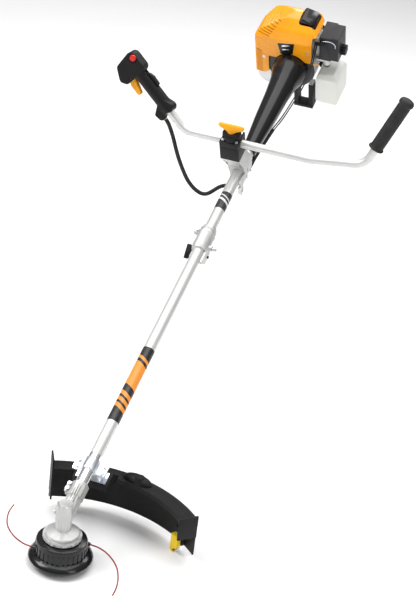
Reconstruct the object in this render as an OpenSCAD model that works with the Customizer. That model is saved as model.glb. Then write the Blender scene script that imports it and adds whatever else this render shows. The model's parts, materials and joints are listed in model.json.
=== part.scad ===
// Petrol string trimmer with a split shaft and a two-hand handlebar.
// The model is drawn from the point where the shaft axis meets the cutting head axis, and is then
// moved so that the harness eye on the handlebar bracket is the origin.
// +Z is up, the shaft climbs towards +Y, and the plain grip is on the +X side.

/* [Boom] */
// Angle of the shaft above the ground, degrees
rise = 28; // [27:0.5:29]
// Outer diameter of both shaft tubes
tube_d = 28; // [28:1:28]
// Wall thickness of the shaft tubes
tube_wall = 1.5; // [1.2:0.1:2]
// Place of the split coupler along the shaft
coupler_at = 752; // [700:1:760]
// Diameter of the steel drive shafts
drive_d = 7; // [6:0.5:8]

/* [Gear head] */
// Height of the gear case above the shaft axis point
case_top = 39; // [36:1:42]
// Outer diameter of the lower flange of the gear case
case_flange_d = 81; // [78:1:84]
// Teeth of the driving bevel pinion
pinion_teeth = 13; // [13:1:13]
// Teeth of the driven bevel gear
gear_teeth = 18; // [18:1:18]

/* [Cutting head] */
// Diameter of the ribbed head body
head_d = 107; // [104:1:110]
// Diameter of the head flange
head_flange_d = 135; // [132:1:138]
// Depth of the head below the shaft axis point
head_bottom = 101; // [100:1:102]
// Diameter of the nylon line
line_d = 3; // [2:0.2:3]

/* [Guard] */
// Radius of the guard skirt
guard_r = 301; // [296:1:306]
// Depth of the guard skirt
guard_depth = 96; // [80:1:98]
// Wall thickness of the guard
guard_wall = 3; // [2.5:0.5:3.5]

/* [Handlebar] */
// Diameter of the handlebar tube
bar_d = 20; // [20:1:20]
// Reach of the bend on the plain grip side
bar_right = 315; // [300:1:330]
// Reach of the bend on the throttle side
bar_left = 122; // [116:1:126]
// Length of the plain grip
grip_l = 140; // [130:1:145]
// Diameter of the plain grip
grip_d = 32; // [30:1:34]

/* [Engine] */
// Distance from the shaft axis point to the front of the fan housing
engine_at = 1412; // [1405:1:1420]
// Piston stroke
stroke = 34; // [30:1:35]
// Cylinder bore
bore = 44; // [42:1:44]
// Wall thickness of the engine cover
cover_wall = 2.5; // [2:0.5:3]

/* [Hidden] */

$fn = 64;
tube_r = tube_d / 2;
drive_r = drive_d / 2;
bar_r = bar_d / 2;
fit = 0.05;         // radial clearance of a running fit

// The harness eye, in shaft coordinates [across, along, above]
eye = [17.5, 985, -26];
eye_r = 5;
eye_plate = 6;

// Bevel gear pair: cone distance, face width and cone angles
cone = 15;
face = 5;
shaft_angle = 90 + rise;
pinion_cone = atan(sin(shaft_angle) / (gear_teeth / pinion_teeth + cos(shaft_angle)));
gear_cone = shaft_angle - pinion_cone;
tooth_up = 4.6;     // tooth height above the pitch cone, degrees
tooth_down = 6.6;   // tooth depth below the pitch cone, degrees

// Tube ends inside the coupler
lower_end = coupler_at + 38;
upper_start = lower_end + 2;

// Clamp centre of the handlebar, in shaft coordinates
clamp = [-10, 1016, 104];
clamp_w = 48;
bar_tilt = -rise;   // turns the shaft frame back upright, so that the bar stands vertical

// Lean of the throttle handle from the vertical, in the upright plane of the bar
hand_lean = 48;
hand_from = 42;     // start of the handle along the left end leg

engine_back = engine_at + 88;
crank_r = stroke / 2;
cyl_at = engine_at + 60;

// Point in the shaft frame written in the frame of the head
function on_shaft(p) = [p[0], p[1] * cos(rise) - p[2] * sin(rise), p[1] * sin(rise) + p[2] * cos(rise)];

// ---------- placing ----------

// Moves the model so that the harness eye is the origin
module place() { translate(-on_shaft(eye)) children(); }

// Shaft frame: +Y runs up the shaft and +Z stands square above it
module shaft() { place() rotate([rise, 0, 0]) children(); }

// Cylinder along the shaft from one distance to another
module rod(r, from, to, x = 0, z = 0) {
    translate([x, from, z]) rotate([-90, 0, 0]) cylinder(r = r, h = to - from);
}

// Ring along the shaft
module ring(r_out, r_in, from, to, x = 0, z = 0) {
    difference() {
        rod(r_out, from, to, x, z);
        rod(r_in, from - 1, to + 1, x, z);
    }
}

// Solid of revolution about the shaft axis, from an outline of [radius, distance along]
module turned(outline, x = 0, z = 0) {
    translate([x, 0, z]) rotate([-90, 0, 0]) rotate_extrude() polygon(outline);
}

// Cross-wise cylinder along X
module pin_x(r, from, to, y, z) {
    translate([from, y, z]) rotate([0, 90, 0]) cylinder(r = r, h = to - from);
}

// Box given by its low and high corners
module box(low, high) { translate(low) cube(high - low); }

// Hexagon-socket cap screw along +Z, its head upwards from the origin
module cap_screw(shank_r, length, head_r, head_h) {
    difference() {
        union() {
            translate([0, 0, -length]) cylinder(r = shank_r, h = length, $fn = 24);
            cylinder(r = head_r, h = head_h, $fn = 24);
        }
        translate([0, 0, head_h / 2]) cylinder(r = head_r * 0.55, h = head_h, $fn = 6);
    }
}

// Frame of the handlebar: origin at the clamp centre, +X across, +Y level, +Z up
module upright() {
    shaft() translate(clamp) rotate([bar_tilt, 0, 0]) children();
}

// Frame of the throttle handle: +Z along the handle, -X towards the fingers
module hand() {
    start = ahead(last(left_bend), left_lean, hand_from);
    upright() translate([-start[0], 0, start[2]]) rotate([0, -hand_lean, 0]) children();
}

// ---------- swept cords ----------

// Unit vector
function unit(v) = v / norm(v);
// Tangent of a route at point i
function tangent(p, i) = unit(p[min(i + 1, len(p) - 1)] - p[max(i - 1, 0)]);
// Side vector square to the tangent
function side(t, up) = unit(cross(t, up));
// Catmull-Rom point between p1 and p2
function smooth(p0, p1, p2, p3, u) = 0.5 * (2 * p1 + (p2 - p0) * u
    + (2 * p0 - 5 * p1 + 4 * p2 - p3) * u * u + (3 * p1 - p0 - 3 * p2 + p3) * u * u * u);
// Route with n steps between every two hand-set points
function route(p, n) = concat([for (i = [0 : len(p) - 2], k = [0 : n - 1])
    smooth(p[max(i - 1, 0)], p[i], p[i + 1], p[min(i + 2, len(p) - 1)], k / n)], [p[len(p) - 1]]);

// Tube of a varying radius along a route
module sweep(p, radii, sides, up) {
    n = len(p);
    rings = [for (i = [0 : n - 1]) let (t = tangent(p, i), a = side(t, up), b = cross(t, a))
        for (k = [0 : sides - 1]) p[i] + radii[i] * (a * cos(360 * k / sides) + b * sin(360 * k / sides))];
    walls = [for (i = [0 : n - 2], k = [0 : sides - 1]) let (m = (k + 1) % sides)
        [i * sides + k, (i + 1) * sides + k, (i + 1) * sides + m, i * sides + m]];
    near_end = [for (k = [0 : sides - 1]) k];
    far_end = [for (k = [sides - 1 : -1 : 0]) (n - 1) * sides + k];
    polyhedron(rings, concat(walls, [near_end, far_end]));
}

// Hollow tube along a route
module sweep_tube(p, r_out, r_in, sides, up) {
    n = len(p);
    ring_of = function (r) [for (i = [0 : n - 1]) let (t = tangent(p, i), a = side(t, up), b = cross(t, a))
        for (k = [0 : sides - 1]) p[i] + r * (a * cos(360 * k / sides) + b * sin(360 * k / sides))];
    inner = n * sides;
    end = (n - 1) * sides;
    outside = [for (i = [0 : n - 2], k = [0 : sides - 1]) let (m = (k + 1) % sides, j = i * sides)
        [j + k, j + sides + k, j + sides + m, j + m]];
    inside = [for (f = outside) [for (q = [3 : -1 : 0]) f[q] + inner]];
    near_end = [for (k = [0 : sides - 1]) let (m = (k + 1) % sides) [k, m, inner + m, inner + k]];
    far_end = [for (k = [0 : sides - 1]) let (m = (k + 1) % sides)
        [end + m, end + k, inner + end + k, inner + end + m]];
    polyhedron(concat(ring_of(r_out), ring_of(r_in)), concat(outside, inside, near_end, far_end));
}

// ---------- bevel gears ----------

// Point on a sphere about the gears' common apex
function on_cone(rho, cone_a, turn) =
    rho * [sin(cone_a) * cos(turn), sin(cone_a) * sin(turn), cos(cone_a)];

// Bevel gear about +Z with its apex at the origin; half_p is half a tooth at the pitch cone, degrees
module bevel(teeth, cone_a, half_p, phase) {
    tip = half_p * 0.45;
    root = half_p * 1.65;
    steps = [[-root, -tooth_down], [-tip, tooth_up], [tip, tooth_up], [root, -tooth_down]];
    function section(rho) = [for (i = [0 : teeth - 1], s = steps)
        on_cone(rho, cone_a + s[1], phase + 360 * i / teeth + s[0])];
    n = teeth * len(steps);
    outer = section(cone);
    inner = section(cone - face);
    low_a = cone_a - tooth_down;
    points = concat(outer, inner, [[0, 0, cone * cos(low_a)], [0, 0, (cone - face) * cos(low_a)]]);
    faces = concat(
        [for (k = [0 : n - 1]) [k, (k + 1) % n, n + (k + 1) % n]],
        [for (k = [0 : n - 1]) [k, n + (k + 1) % n, n + k]],
        [for (k = [0 : n - 1]) [2 * n, (k + 1) % n, k]],
        [for (k = [0 : n - 1]) [2 * n + 1, n + k, n + (k + 1) % n]]);
    polyhedron(points, faces);
}

// ---------- lower boom ----------

// Clamp lug of the gear case, with its screw hole
socket_screws = [[-19, 64], [-19, 76]];
socket_end = 84;

module gear_case() color("lightgray") place() difference() {
    union() {
        cylinder(r = 16.8, h = case_top - 1.5);
        translate([0, 0, case_top - 1.5]) cylinder(r1 = 16.8, r2 = 15.3, h = 1.5);
        translate([0, 0, -27]) cylinder(r = 16.8, h = 27);
        translate([0, 0, -30]) cylinder(r1 = 34, r2 = 17, h = 8);
        translate([0, 0, -34]) cylinder(r = 35.5, h = 4);
        translate([0, 0, -43]) cylinder(r = case_flange_d / 2, h = 9);
        rotate([rise, 0, 0]) {
            rod(16.8, 0, 56);
            rod(18.5, 52, socket_end);
            // split clamp ears on the upper left
            box([-25, 58, 1.5], [-8, 82, 9.5]);
            box([-25, 58, -8], [-8, 82, -1.5]);
        }
        // grease screw boss
        translate([-15, 0, 12]) rotate([0, -90, 0]) cylinder(r = 4.5, h = 5);
    }
    // gear chamber, bearing seats and the way out of the arbor
    translate([0, 0, -12]) cylinder(r = 15.2, h = 30);
    translate([0, 0, -39]) cylinder(r = 13, h = 30);
    translate([0, 0, -44]) cylinder(r = 7, h = 10);
    rotate([rise, 0, 0]) {
        rod(12, 6, 45);
        rod(tube_r, 45, socket_end + 1);
        box([-30, 54, -1.5], [-8, socket_end + 1, 1.5]);
        for (s = socket_screws) translate([s[0] - 1, s[1], -12]) cylinder(r = 2.5, h = 26);
    }
    translate([-15, 0, 12]) rotate([0, -90, 0]) cylinder(r = 2.4, h = 6);
}

module boom_screws() color("silver") {
    shaft() {
        for (s = socket_screws) translate([s[0] - 1, s[1], 9.5]) cap_screw(2.5, 17.5, 4.3, 4);
        for (x = [-bracket_screw_x, bracket_screw_x], y = [bracket_at + 6, bracket_at + 22])
            translate([x, y, -3]) cap_screw(2.5, 8, 4.3, 3.5);
    }
    place() translate([-20, 0, 12]) rotate([0, -90, 0]) cap_screw(2.4, 4, 3.6, 3.5);
    place() cutter_frame() for (x = [-6, 6]) translate([x, 9.5, 4]) rotate([-90, 0, 0])
        cap_screw(2, 5.5, 3.4, 2.5);
}

module boom_bearings() color("gainsboro") {
    place() for (z = [-24, -38]) translate([0, 0, z]) difference() {
        cylinder(r = 13, h = 9);
        translate([0, 0, -1]) cylinder(r = 5 + fit, h = 11);
    }
    shaft() {
        ring(12, drive_r + fit, 24, 32);
        ring(12, drive_r + fit, 36, 44);
        for (t = [200 : 180 : 740]) ring(tube_r - tube_wall, drive_r + fit, t, t + 22);
    }
}

module lower_tube() color("whitesmoke") shaft() ring(tube_r, tube_r - tube_wall, 45, lower_end);

// Guard bracket: strap over the tube, channel below it that carries the guard
bracket_at = 120;
bracket_l = 28;
bracket_screw_x = 29;
neck_top = -37;

module guard_bracket() color("lightsteelblue") shaft() {
    // upper strap with its two wings
    difference() {
        union() {
            rod(tube_r + 2.5, bracket_at, bracket_at + bracket_l);
            box([-37, bracket_at, -5.5], [37, bracket_at + bracket_l, -3]);
        }
        rod(tube_r, bracket_at - 1, bracket_at + bracket_l + 1);
        box([-60, bracket_at - 1, -60], [60, bracket_at + bracket_l + 1, -5.5]);
        for (x = [-bracket_screw_x, bracket_screw_x], y = [bracket_at + 6, bracket_at + 22])
            translate([x, y, -10]) cylinder(r = 2.5, h = 12);
    }
    // lower channel
    difference() {
        union() {
            box([-37, bracket_at, -8], [37, bracket_at + bracket_l, -5.5]);
            box([-22, bracket_at, neck_top], [-19.5, bracket_at + bracket_l, -8]);
            box([19.5, bracket_at, neck_top], [22, bracket_at + bracket_l, -8]);
            box([-34, bracket_at, neck_top], [34, bracket_at + bracket_l, neck_top + 2.5]);
        }
        rod(tube_r, bracket_at - 1, bracket_at + bracket_l + 1);
        for (x = [-bracket_screw_x, bracket_screw_x], y = [bracket_at + 6, bracket_at + 22])
            translate([x, y, -12]) cylinder(r = 2.5, h = 12);
    }
}

// Guard: an L-shaped section bent round an arc, with a sloping neck up to the bracket
guard_centre = [35, -85];
guard_top = 12;
guard_plate = 42;
guard_from = 46;
guard_to = 120;
cutter_turn = 55.5;
dome_turn = 79;

// Arc frame of the guard
module guard_arc() { place() translate([guard_centre[0], guard_centre[1], 0]) children(); }

// Frame of the moulded dome, on top of the plate
module dome_at() {
    guard_arc() rotate([0, 0, dome_turn]) translate([guard_r - 24, 0, guard_top]) children();
}

module guard() color([0.12, 0.12, 0.12]) {
    difference() {
        union() {
            // plate and skirt in one section, with a rounded shoulder
            guard_arc() rotate([0, 0, guard_from]) rotate_extrude(angle = guard_to - guard_from, $fn = 96)
                polygon([[guard_r - guard_plate, guard_top], [guard_r - 10, guard_top],
                    [guard_r - 3, guard_top - 3], [guard_r, guard_top - 10],
                    [guard_r, guard_top - guard_depth], [guard_r - guard_wall, guard_top - guard_depth],
                    [guard_r - guard_wall, guard_top - 11], [guard_r - 6, guard_top - 6],
                    [guard_r - 12, guard_top - guard_wall], [guard_r - guard_plate + 3, guard_top - guard_wall],
                    [guard_r - guard_plate + 3, guard_top - 10], [guard_r - guard_plate, guard_top - 10]]);
            // fin on the left end, and the end wall on the right
            guard_arc() rotate([0, 0, guard_to]) box([guard_r - guard_plate - 0.6, -3, guard_top - 78],
                [guard_r + 0.6, 0.8, guard_top + 20]);
            guard_arc() rotate([0, 0, guard_from]) box([guard_r - guard_plate - 0.6, -0.8, guard_top - 52],
                [guard_r + 0.6, guard_wall, guard_top + 0.6]);
            // neck: a hollow wedge whose top lies square under the bracket
            place() difference() {
                guard_neck(40, 0);
                guard_neck(37, guard_wall);
            }
            // moulded dome on the plate
            dome_at() translate([0, 0, -1.6]) cylinder(r1 = 18.5, r2 = 9, h = 16);
            // mount for the line cutter on the inside of the skirt
            place() cutter_frame() box([-13, -1, -10], [13, 8, 26]);
        }
        // underside of the dome
        dome_at() translate([0, 0, -5]) cylinder(r1 = 17, r2 = 6, h = 17);
        place() cutter_frame() for (x = [-6, 6]) translate([x, 2, 4]) rotate([-90, 0, 0])
            cylinder(r = 2, h = 10);
    }
}

// Side outline of the neck, shrunk by a wall; its foot stands a little proud of the plate
module guard_neck(half_w, wall) {
    low = on_shaft([0, bracket_at - 3, neck_top]);
    high = on_shaft([0, bracket_at + bracket_l + 3, neck_top]);
    foot = guard_top - guard_wall - 0.6;
    brow = guard_top + 0.6;
    translate([half_w, 0, 0]) rotate([0, -90, 0]) linear_extrude(2 * half_w)
        polygon([[foot - wall, low[1] + wall], [low[2] - wall * 1.1, low[1] + wall],
            [high[2] - wall * 1.1, high[1] - wall], [brow - wall, 186 - wall], [foot - wall, 186 - wall]]);
}

// Frame of the cutter: on the inside of the skirt at the line's height, +Y towards the head
module cutter_frame() {
    translate([guard_centre[0], guard_centre[1], 0]) rotate([0, 0, cutter_turn])
        translate([guard_r - guard_wall, 0, -74]) rotate([0, 0, 90]) children();
}

module line_cutter() color("silver") place() cutter_frame() difference() {
    box([-10, 8, -26], [10, 9.5, 14]);
    for (x = [-6, 6]) translate([x, 12, 4]) rotate([90, 0, 0]) cylinder(r = 2, h = 6, $fn = 24);
}

module cutter_cover() color("gold") place() cutter_frame() {
    translate([0, 9.5, 0]) difference() {
        box([-12, 0, -29], [12, 9, 12]);
        box([-10.5, -1, -27], [10.5, 7.5, 10]);
        translate([0, 0, -29]) rotate([0, 35, 0]) box([-30, -1, -12], [0, 20, 6]);
    }
}

// ---------- cutting head ----------

arbor_r = 5;
head_top = 46;
knob_r = 36;

module arbor() color("silver") place() {
    translate([0, 0, -62]) cylinder(r = arbor_r, h = 60.5);
    translate([0, 0, -head_top]) cylinder(r = 20, h = 2.6);
}

module bevel_gear() color("darkgray") place() difference() {
    rotate([180, 0, 0]) bevel(gear_teeth, gear_cone, 3.9, 270 + 180 / gear_teeth);
    translate([0, 0, -30]) cylinder(r = arbor_r, h = 40);
}

module bevel_pinion() color("darkgray") shaft() {
    rotate([-90, 0, 0]) difference() {
        bevel(pinion_teeth, pinion_cone, 5.4, 90);
        cylinder(r = drive_r, h = 2 * cone);
    }
    // collar between the pinion and the first bearing
    ring(7, drive_r, cone, 23.8);
}

module drive_shaft_lower() color("slategray") shaft() rod(drive_r, 8, lower_end + 8);

line_z = -66;

module head_housing() color([0.08, 0.08, 0.08]) place() {
    hr = head_d / 2;
    fr = head_flange_d / 2;
    difference() {
        union() {
            rotate_extrude($fn = 96) polygon([[arbor_r, -head_top], [hr - 4.5, -head_top],
                [hr - 1.2, -head_top - 1.4], [hr, -head_top - 5], [hr, -78], [hr + 6, -80],
                [fr - 1.5, -85], [fr, -88], [fr - 1.5, -91], [hr + 6, -98], [46, -head_bottom],
                [46, -98], [58, -94], [fr - 5, -88.5], [58, -84], [50, -82], [50, -53], [48, -50],
                [12, -50], [12, -62], [arbor_r, -62]]);
            // grip ribs round the body
            for (a = [0 : 12 : 359]) rotate([0, 0, a]) box([hr - 1, -1.6, -77.5], [hr + 1.4, 1.6, -58]);
            // bosses of the two line eyelets
            for (a = [0, 180]) rotate([0, 0, a]) translate([40, 33, line_z]) rotate([0, 90, 0])
                cylinder(r = 4, h = 10);
        }
        // inside kept free for the spool
        translate([0, 0, -82]) difference() {
            cylinder(r = 50, h = 32);
            translate([0, 0, -1]) cylinder(r = 12, h = 34);
        }
    }
}

// Free nylon lines, on the right from the eyelet to the tip; the left line is its half turn
line_points = [[50, 33, -66], [60, 33, -66], [69, 32, -66], [84, 27, -66], [100, 18, -66.5], [116, 5, -67],
    [130, -11, -68], [141, -30, -69], [149, -50, -70], [154, -70, -71], [156, -90, -72]];

module nylon_line(turn) {
    place() rotate([0, 0, turn]) {
        r = route(line_points, 4);
        sweep(r, [for (p = r) line_d / 2], 8, [0, 0, 1]);
    }
}
module left_line() color("red") nylon_line(180);
module right_line() color("red") nylon_line(0);

module spool() color("dimgray") place() rotate_extrude() polygon([[12 + fit, -51], [18, -51],
    [18, -53], [46, -53], [46, -56], [20, -56], [20, -86], [46, -86], [46, -89], [15, -89],
    [15, -89], [12 + fit, -89]]);

module wound_line() color("firebrick") place() rotate_extrude()
    polygon([[20, -56], [38, -56], [38, -86], [20, -86]]);

module bump_knob() color([0.16, 0.16, 0.16]) place() rotate_extrude() polygon([[0, -70], [10, -70],
    [11, -72], [11, -94], [knob_r, -94], [knob_r + 1, -96], [knob_r - 2, -100], [24, -103.5],
    [12, -105], [0, -105.5]]);

// ---------- root: tube, coupler and handlebar bracket ----------

shroud_end = 1398;

module upper_tube() color("whitesmoke") shaft()
    ring(tube_r, tube_r - tube_wall, upper_start, shroud_end - 30);

knob_t = coupler_at + 4;
latch_t = coupler_at + 16;

module shaft_coupler() color("lightgray") shaft() difference() {
    union() {
        turned([[0, coupler_at], [18, coupler_at], [20.5, coupler_at + 8], [20.5, coupler_at + 48],
            [21.5, coupler_at + 50], [21.5, coupler_at + 54], [18.5, coupler_at + 56],
            [18.5, coupler_at + 60], [20, coupler_at + 61], [20, coupler_at + 65],
            [17.5, coupler_at + 67], [17.5, coupler_at + 72], [15.5, coupler_at + 74], [0, coupler_at + 74]]);
        // split ears of the knob clamp, below the tube
        box([-19, coupler_at - 14, -26], [-2, coupler_at + 20, -8]);
        box([2, coupler_at - 14, -26], [19, coupler_at + 20, -8]);
        // tongue beside the tube, and the screw lug at the top
        box([14.6, coupler_at - 32, -6], [19.5, coupler_at + 4, 4]);
        box([-32, coupler_at + 50, -7], [-10, coupler_at + 60, 7]);
        // boss of the latch
        pin_x(7, 12, 28, latch_t, 0);
    }
    rod(tube_r + fit, coupler_at - 40, lower_end + 1);
    rod(tube_r, lower_end, coupler_at + 80);
    box([-2, coupler_at - 15, -40], [2, coupler_at + 30, 0]);
    pin_x(3 + fit, -40, 40, knob_t, -20);
    pin_x(4 + fit, 14, 40, latch_t, 0);
    translate([-25, coupler_at + 55, -10]) cylinder(r = 2.5, h = 20);
    box([-33, coupler_at + 49, -1], [-12, coupler_at + 61, 1]);
}

module coupler_knob() color([0.1, 0.1, 0.1]) shaft() {
    pin_x(3, -24, 22, knob_t, -20);
    hull() {
        pin_x(7, -30, -19.5, knob_t, -20);
        pin_x(3, -36, -27, knob_t - 12, -25);
        pin_x(5, -36, -27, knob_t + 13, -12);
    }
}

module coupler_latch() color("silver") shaft() {
    pin_x(4, 15, 32, latch_t, 0);
    pin_x(6.5, 32, 40, latch_t, 0);
}

base_from = 1012;
base_to = 1060;
block_from = clamp[1] - clamp_w / 2;
block_to = clamp[1] + clamp_w / 2;
base_top = 64;

// Side outline of the cast bracket: [along, above]
base_side = [[base_from, -21], [base_to, -21], [base_to, 22], [block_to, base_top],
    [block_from, base_top], [base_from, 24]];

module bar_base() color("lightgray") shaft() difference() {
    union() {
        intersection() {
            translate([60, 0, 0]) rotate([0, -90, 0]) linear_extrude(120)
                polygon([for (p = base_side) [p[1], p[0]]]);
            translate([0, base_to + 10, 0]) rotate([90, 0, 0]) linear_extrude(120)
                polygon([[-17, -22], [17, -22], [20, 0], [15, base_top + 1], [-35, base_top + 1], [-21, 0]]);
        }
        // tongue beside the tube that ends in the harness eye
        box([eye[0] - eye_plate / 2, eye[1] - 6, -14], [eye[0] + eye_plate / 2, base_from + 4, 6]);
        box([eye[0] - eye_plate / 2, eye[1] - 11, eye[2]], [eye[0] + eye_plate / 2, eye[1] + 11, -8]);
        pin_x(11, eye[0] - eye_plate / 2, eye[0] + eye_plate / 2, eye[1], eye[2]);
    }
    rod(tube_r, eye[1] - 30, base_to + 1);
    pin_x(eye_r, eye[0] - eye_plate / 2 - 1, eye[0] + eye_plate / 2 + 1, eye[1], eye[2]);
    // saw cut of the shaft clamp and its screw holes
    box([-1.2, base_from - 1, -30], [1.2, base_to + 1, 0]);
    for (y = [base_from + 12, base_to - 12]) pin_x(2.5, -30, 30, y, -17.5);
    // weight-saving pockets in the front and side faces
    box([-26, block_from, 26], [-22, block_from + 30, 46]);
    box([10, block_from, 30], [13, block_from + 26, 50]);
    box([18, base_from + 14, -6], [24, base_from + 20, 10]);
    // screw holes up into the clamp block
    for (x = [-19, 19], y = [-16, 16]) translate([clamp[0] + x * 0.9, clamp[1] + y, base_top - 14])
        cylinder(r = 2.5, h = 20);
}

module clamp_block() color([0.1, 0.1, 0.1]) shaft() difference() {
    box([clamp[0] - 24, block_from, base_top], [clamp[0] + 24, block_to, clamp[2] - 0.5]);
    pin_x(bar_r + fit, clamp[0] - 30, clamp[0] + 30, clamp[1], clamp[2]);
    clamp_holes(2.5);
    translate([clamp[0], clamp[1] + 17, base_top - 1]) cylinder(r = 3, h = 60);
}

module clamp_holes(r) {
    for (x = [-19, 19], y = [-16, 16]) translate([clamp[0] + x * 0.9, clamp[1] + y, base_top - 14])
        cylinder(r = r, h = 90, $fn = 24);
}

module clamp_cap() color([0.07, 0.07, 0.07]) shaft() difference() {
    union() {
        box([clamp[0] - 24, block_from, clamp[2] + 0.5], [clamp[0] + 24, block_to, clamp[2] + 16]);
        translate([clamp[0], clamp[1], clamp[2] + 14]) cylinder(r = 22.5, h = 16);
        translate([clamp[0], clamp[1], clamp[2] + 30]) cylinder(r1 = 22.5, r2 = 18, h = 6);
    }
    pin_x(bar_r + fit, clamp[0] - 30, clamp[0] + 30, clamp[1], clamp[2]);
    // well of the wing knob
    translate([clamp[0], clamp[1], clamp[2] + 22]) cylinder(r = 12, h = 30);
    translate([clamp[0], clamp[1], clamp[2] + 11]) cylinder(r = 4 + fit, h = 30);
    clamp_holes(2.5);
    for (x = [-19, 19], y = [-16, 16]) translate([clamp[0] + x * 0.9, clamp[1] + y, clamp[2] + 16])
        cylinder(r = 4.4, h = 30);
}

module wing_knob() color("orange") shaft() translate([clamp[0], clamp[1], clamp[2]]) {
    translate([0, 0, 12]) cylinder(r = 4, h = 20);
    translate([0, 0, 22.5]) cylinder(r = 11.5, h = 16);
    hull() {
        translate([0, 0, 38]) cylinder(r = 10, h = 8, $fn = 32);
        for (s = [-1, 1]) translate([s * 27, 0, 50]) sphere(r = 5.5, $fn = 24);
    }
}

module frame_screws() color("silver") shaft() {
    // clamp screws of the handlebar, from the cap down into the bracket
    for (x = [-19, 19], y = [-16, 16]) translate([clamp[0] + x * 0.9, clamp[1] + y, clamp[2] + 16])
        cap_screw(2.5, 64, 3.8, 3);
    // shaft clamp screws of the bracket
    for (y = [base_from + 12, base_to - 12]) translate([18, y, -17.5]) rotate([0, 90, 0])
        cap_screw(2.5, 34, 4.2, 4);
    // top screw of the coupler
    translate([-25, coupler_at + 55, 7]) cap_screw(2.5, 14, 4.2, 4);
    // cover screws
    for (p = cover_screws) translate([p[0], cover_from, p[1]]) rotate([90, 0, 0]) cap_screw(2.2, 5.5, 4, 2.5);
}

// Tapered housing over the upper tube, ending in the flange on the fan housing
shroud_from = 1085;

module shaft_shroud() color([0.1, 0.1, 0.1]) shaft() {
    difference() {
        turned([[tube_r, shroud_from], [18, shroud_from], [20, 1120], [26, 1200], [30.5, 1290],
            [33, 1320], [36, 1350], [42, 1375], [46, shroud_end - 3], [46, engine_at],
            [40, engine_at], [40, shroud_end - 3], [36, 1377], [26, 1352], [tube_r, 1330]]);
        // slot for the tube's clamp screw
        box([-1, 1330, -60], [1, 1400, -20]);
    }
}

// ---------- engine ----------

fan_r = 64;

module fan_housing() color("gainsboro") shaft() difference() {
    union() {
        rod(fan_r, engine_at, engine_at + 34);
        // scroll outlet on the left
        box([-92, engine_at, -40], [-30, engine_at + 34, 30]);
        translate([-62, engine_at, -40]) rotate([-90, 0, 0]) cylinder(r = 30, h = 34);
        // stand foot
        box([4, engine_at + 6, -135], [16, engine_at + 30, -60]);
        box([4, engine_at + 4, -138], [56, engine_at + 34, -130]);
        box([44, engine_at + 6, -134], [56, engine_at + 30, -55]);
    }
    // chambers of the clutch drum and the flywheel
    rod(43, engine_at - 1, engine_at + 10);
    rod(57, engine_at + 9.5, engine_at + 35);
    box([-89, engine_at + 3, -37], [-40, engine_at + 31, 27]);
}

barrel_r = 25.5;

module crankcase() color("silver") shaft() difference() {
    union() {
        rod(fan_r - 2, engine_at + 34, engine_at + 38);
        rod(36, engine_at + 37, engine_back);
        rod(fan_r - 4, engine_back - 4, engine_back);
        box([-30, cyl_at - 26, -30], [30, cyl_at + 26, 40]);
    }
    rod(30, engine_at + 48, engine_at + 80);
    rod(14, engine_at + 30, engine_back + 1);
    translate([0, cyl_at, 10]) cylinder(r = bore / 2, h = 40);
    translate([0, cyl_at, 40]) cylinder(r = barrel_r, h = 30);
    rod(34, engine_at + 80, engine_back + 1);
}

module engine_cylinder() color("silver") shaft() difference() {
    union() {
        translate([0, cyl_at, 40]) cylinder(r = barrel_r, h = 72);
        // the three lowest fins stay between the two flanges of the crankcase
        for (i = [0 : 2]) translate([-34, cyl_at - 21, 46 + 7 * i]) cube([68, 44, 2.2]);
        for (i = [3 : 8]) translate([-32, cyl_at - 32, 46 + 7 * i]) cube([64, 60, 2.2]);
        box([-36, cyl_at - 12, 50], [-20, cyl_at + 12, 74]);
        box([20, cyl_at - 12, 50], [44, cyl_at + 12, 74]);
    }
    translate([0, cyl_at, 39]) cylinder(r = bore / 2, h = 66);
    // exhaust port and inlet port
    pin_x(7, -40, -10, cyl_at, 62);
    pin_x(6, 10, 50, cyl_at, 62);
    // plug thread
    translate([0, cyl_at, 100]) cylinder(r = 6, h = 20);
}

module drive_bearings() color("gainsboro") shaft() {
    ring(14, 7 + fit, engine_at + 36, engine_at + 46);
    for (t = [880 : 160 : 1360]) ring(tube_r - tube_wall, drive_r + fit, t, t + 22);
}

module crankshaft() color("slategray") shaft() difference() {
    union() {
        rod(7, engine_at + 14, engine_at + 48);
        rod(24, engine_at + 48.5, engine_at + 55);
        rod(5, engine_at + 55, engine_at + 56.6, 0, crank_r);
    }
    rod(2.5, engine_at + 12, engine_at + 20);
}

module flywheel() color("darkgray") shaft() difference() {
    union() {
        rod(53, engine_at + 22, engine_at + 27);
        for (a = [0 : 24 : 359]) rotate([0, a, 0]) box([34, engine_at + 14, -1.2], [52, engine_at + 22.5, 1.2]);
        rod(14, engine_at + 20, engine_at + 32);
    }
    rod(7, engine_at + 10, engine_at + 40);
}

// Two clutch shoes on their hub
module clutch_shoes() color("slategray") shaft() {
    difference() {
        union() {
            ring(31, 20, engine_at + 1, engine_at + 12);
            rod(10, engine_at + 1, engine_at + 20);
            box([-22, engine_at + 2, -5], [22, engine_at + 11, 5]);
        }
        rod(7, engine_at + 14, engine_at + 30);
        for (s = [-1, 1]) box([-40, engine_at, s * 12 - 1], [40, engine_at + 13, s * 12 + 1]);
        box([-1, engine_at, 10], [1, engine_at + 13, 40]);
        box([-1, engine_at, -40], [1, engine_at + 13, -10]);
    }
}

module clutch_drum() color("darkgray") shaft() {
    turned([[drive_r, engine_at - 14], [9, engine_at - 14], [9, engine_at - 5], [36, engine_at - 5],
        [36, engine_at + 13], [32.5, engine_at + 13], [32.5, engine_at - 2], [drive_r, engine_at - 2]]);
}

module drive_shaft_upper() color("slategray") shaft() difference() {
    union() {
        rod(drive_r, lower_end - 6 + 20, engine_at - 3);
        rod(6.5, lower_end - 8, lower_end + 20);
    }
    rod(drive_r + fit, lower_end - 10, lower_end + 12);
}

pin_z = 82;

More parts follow.
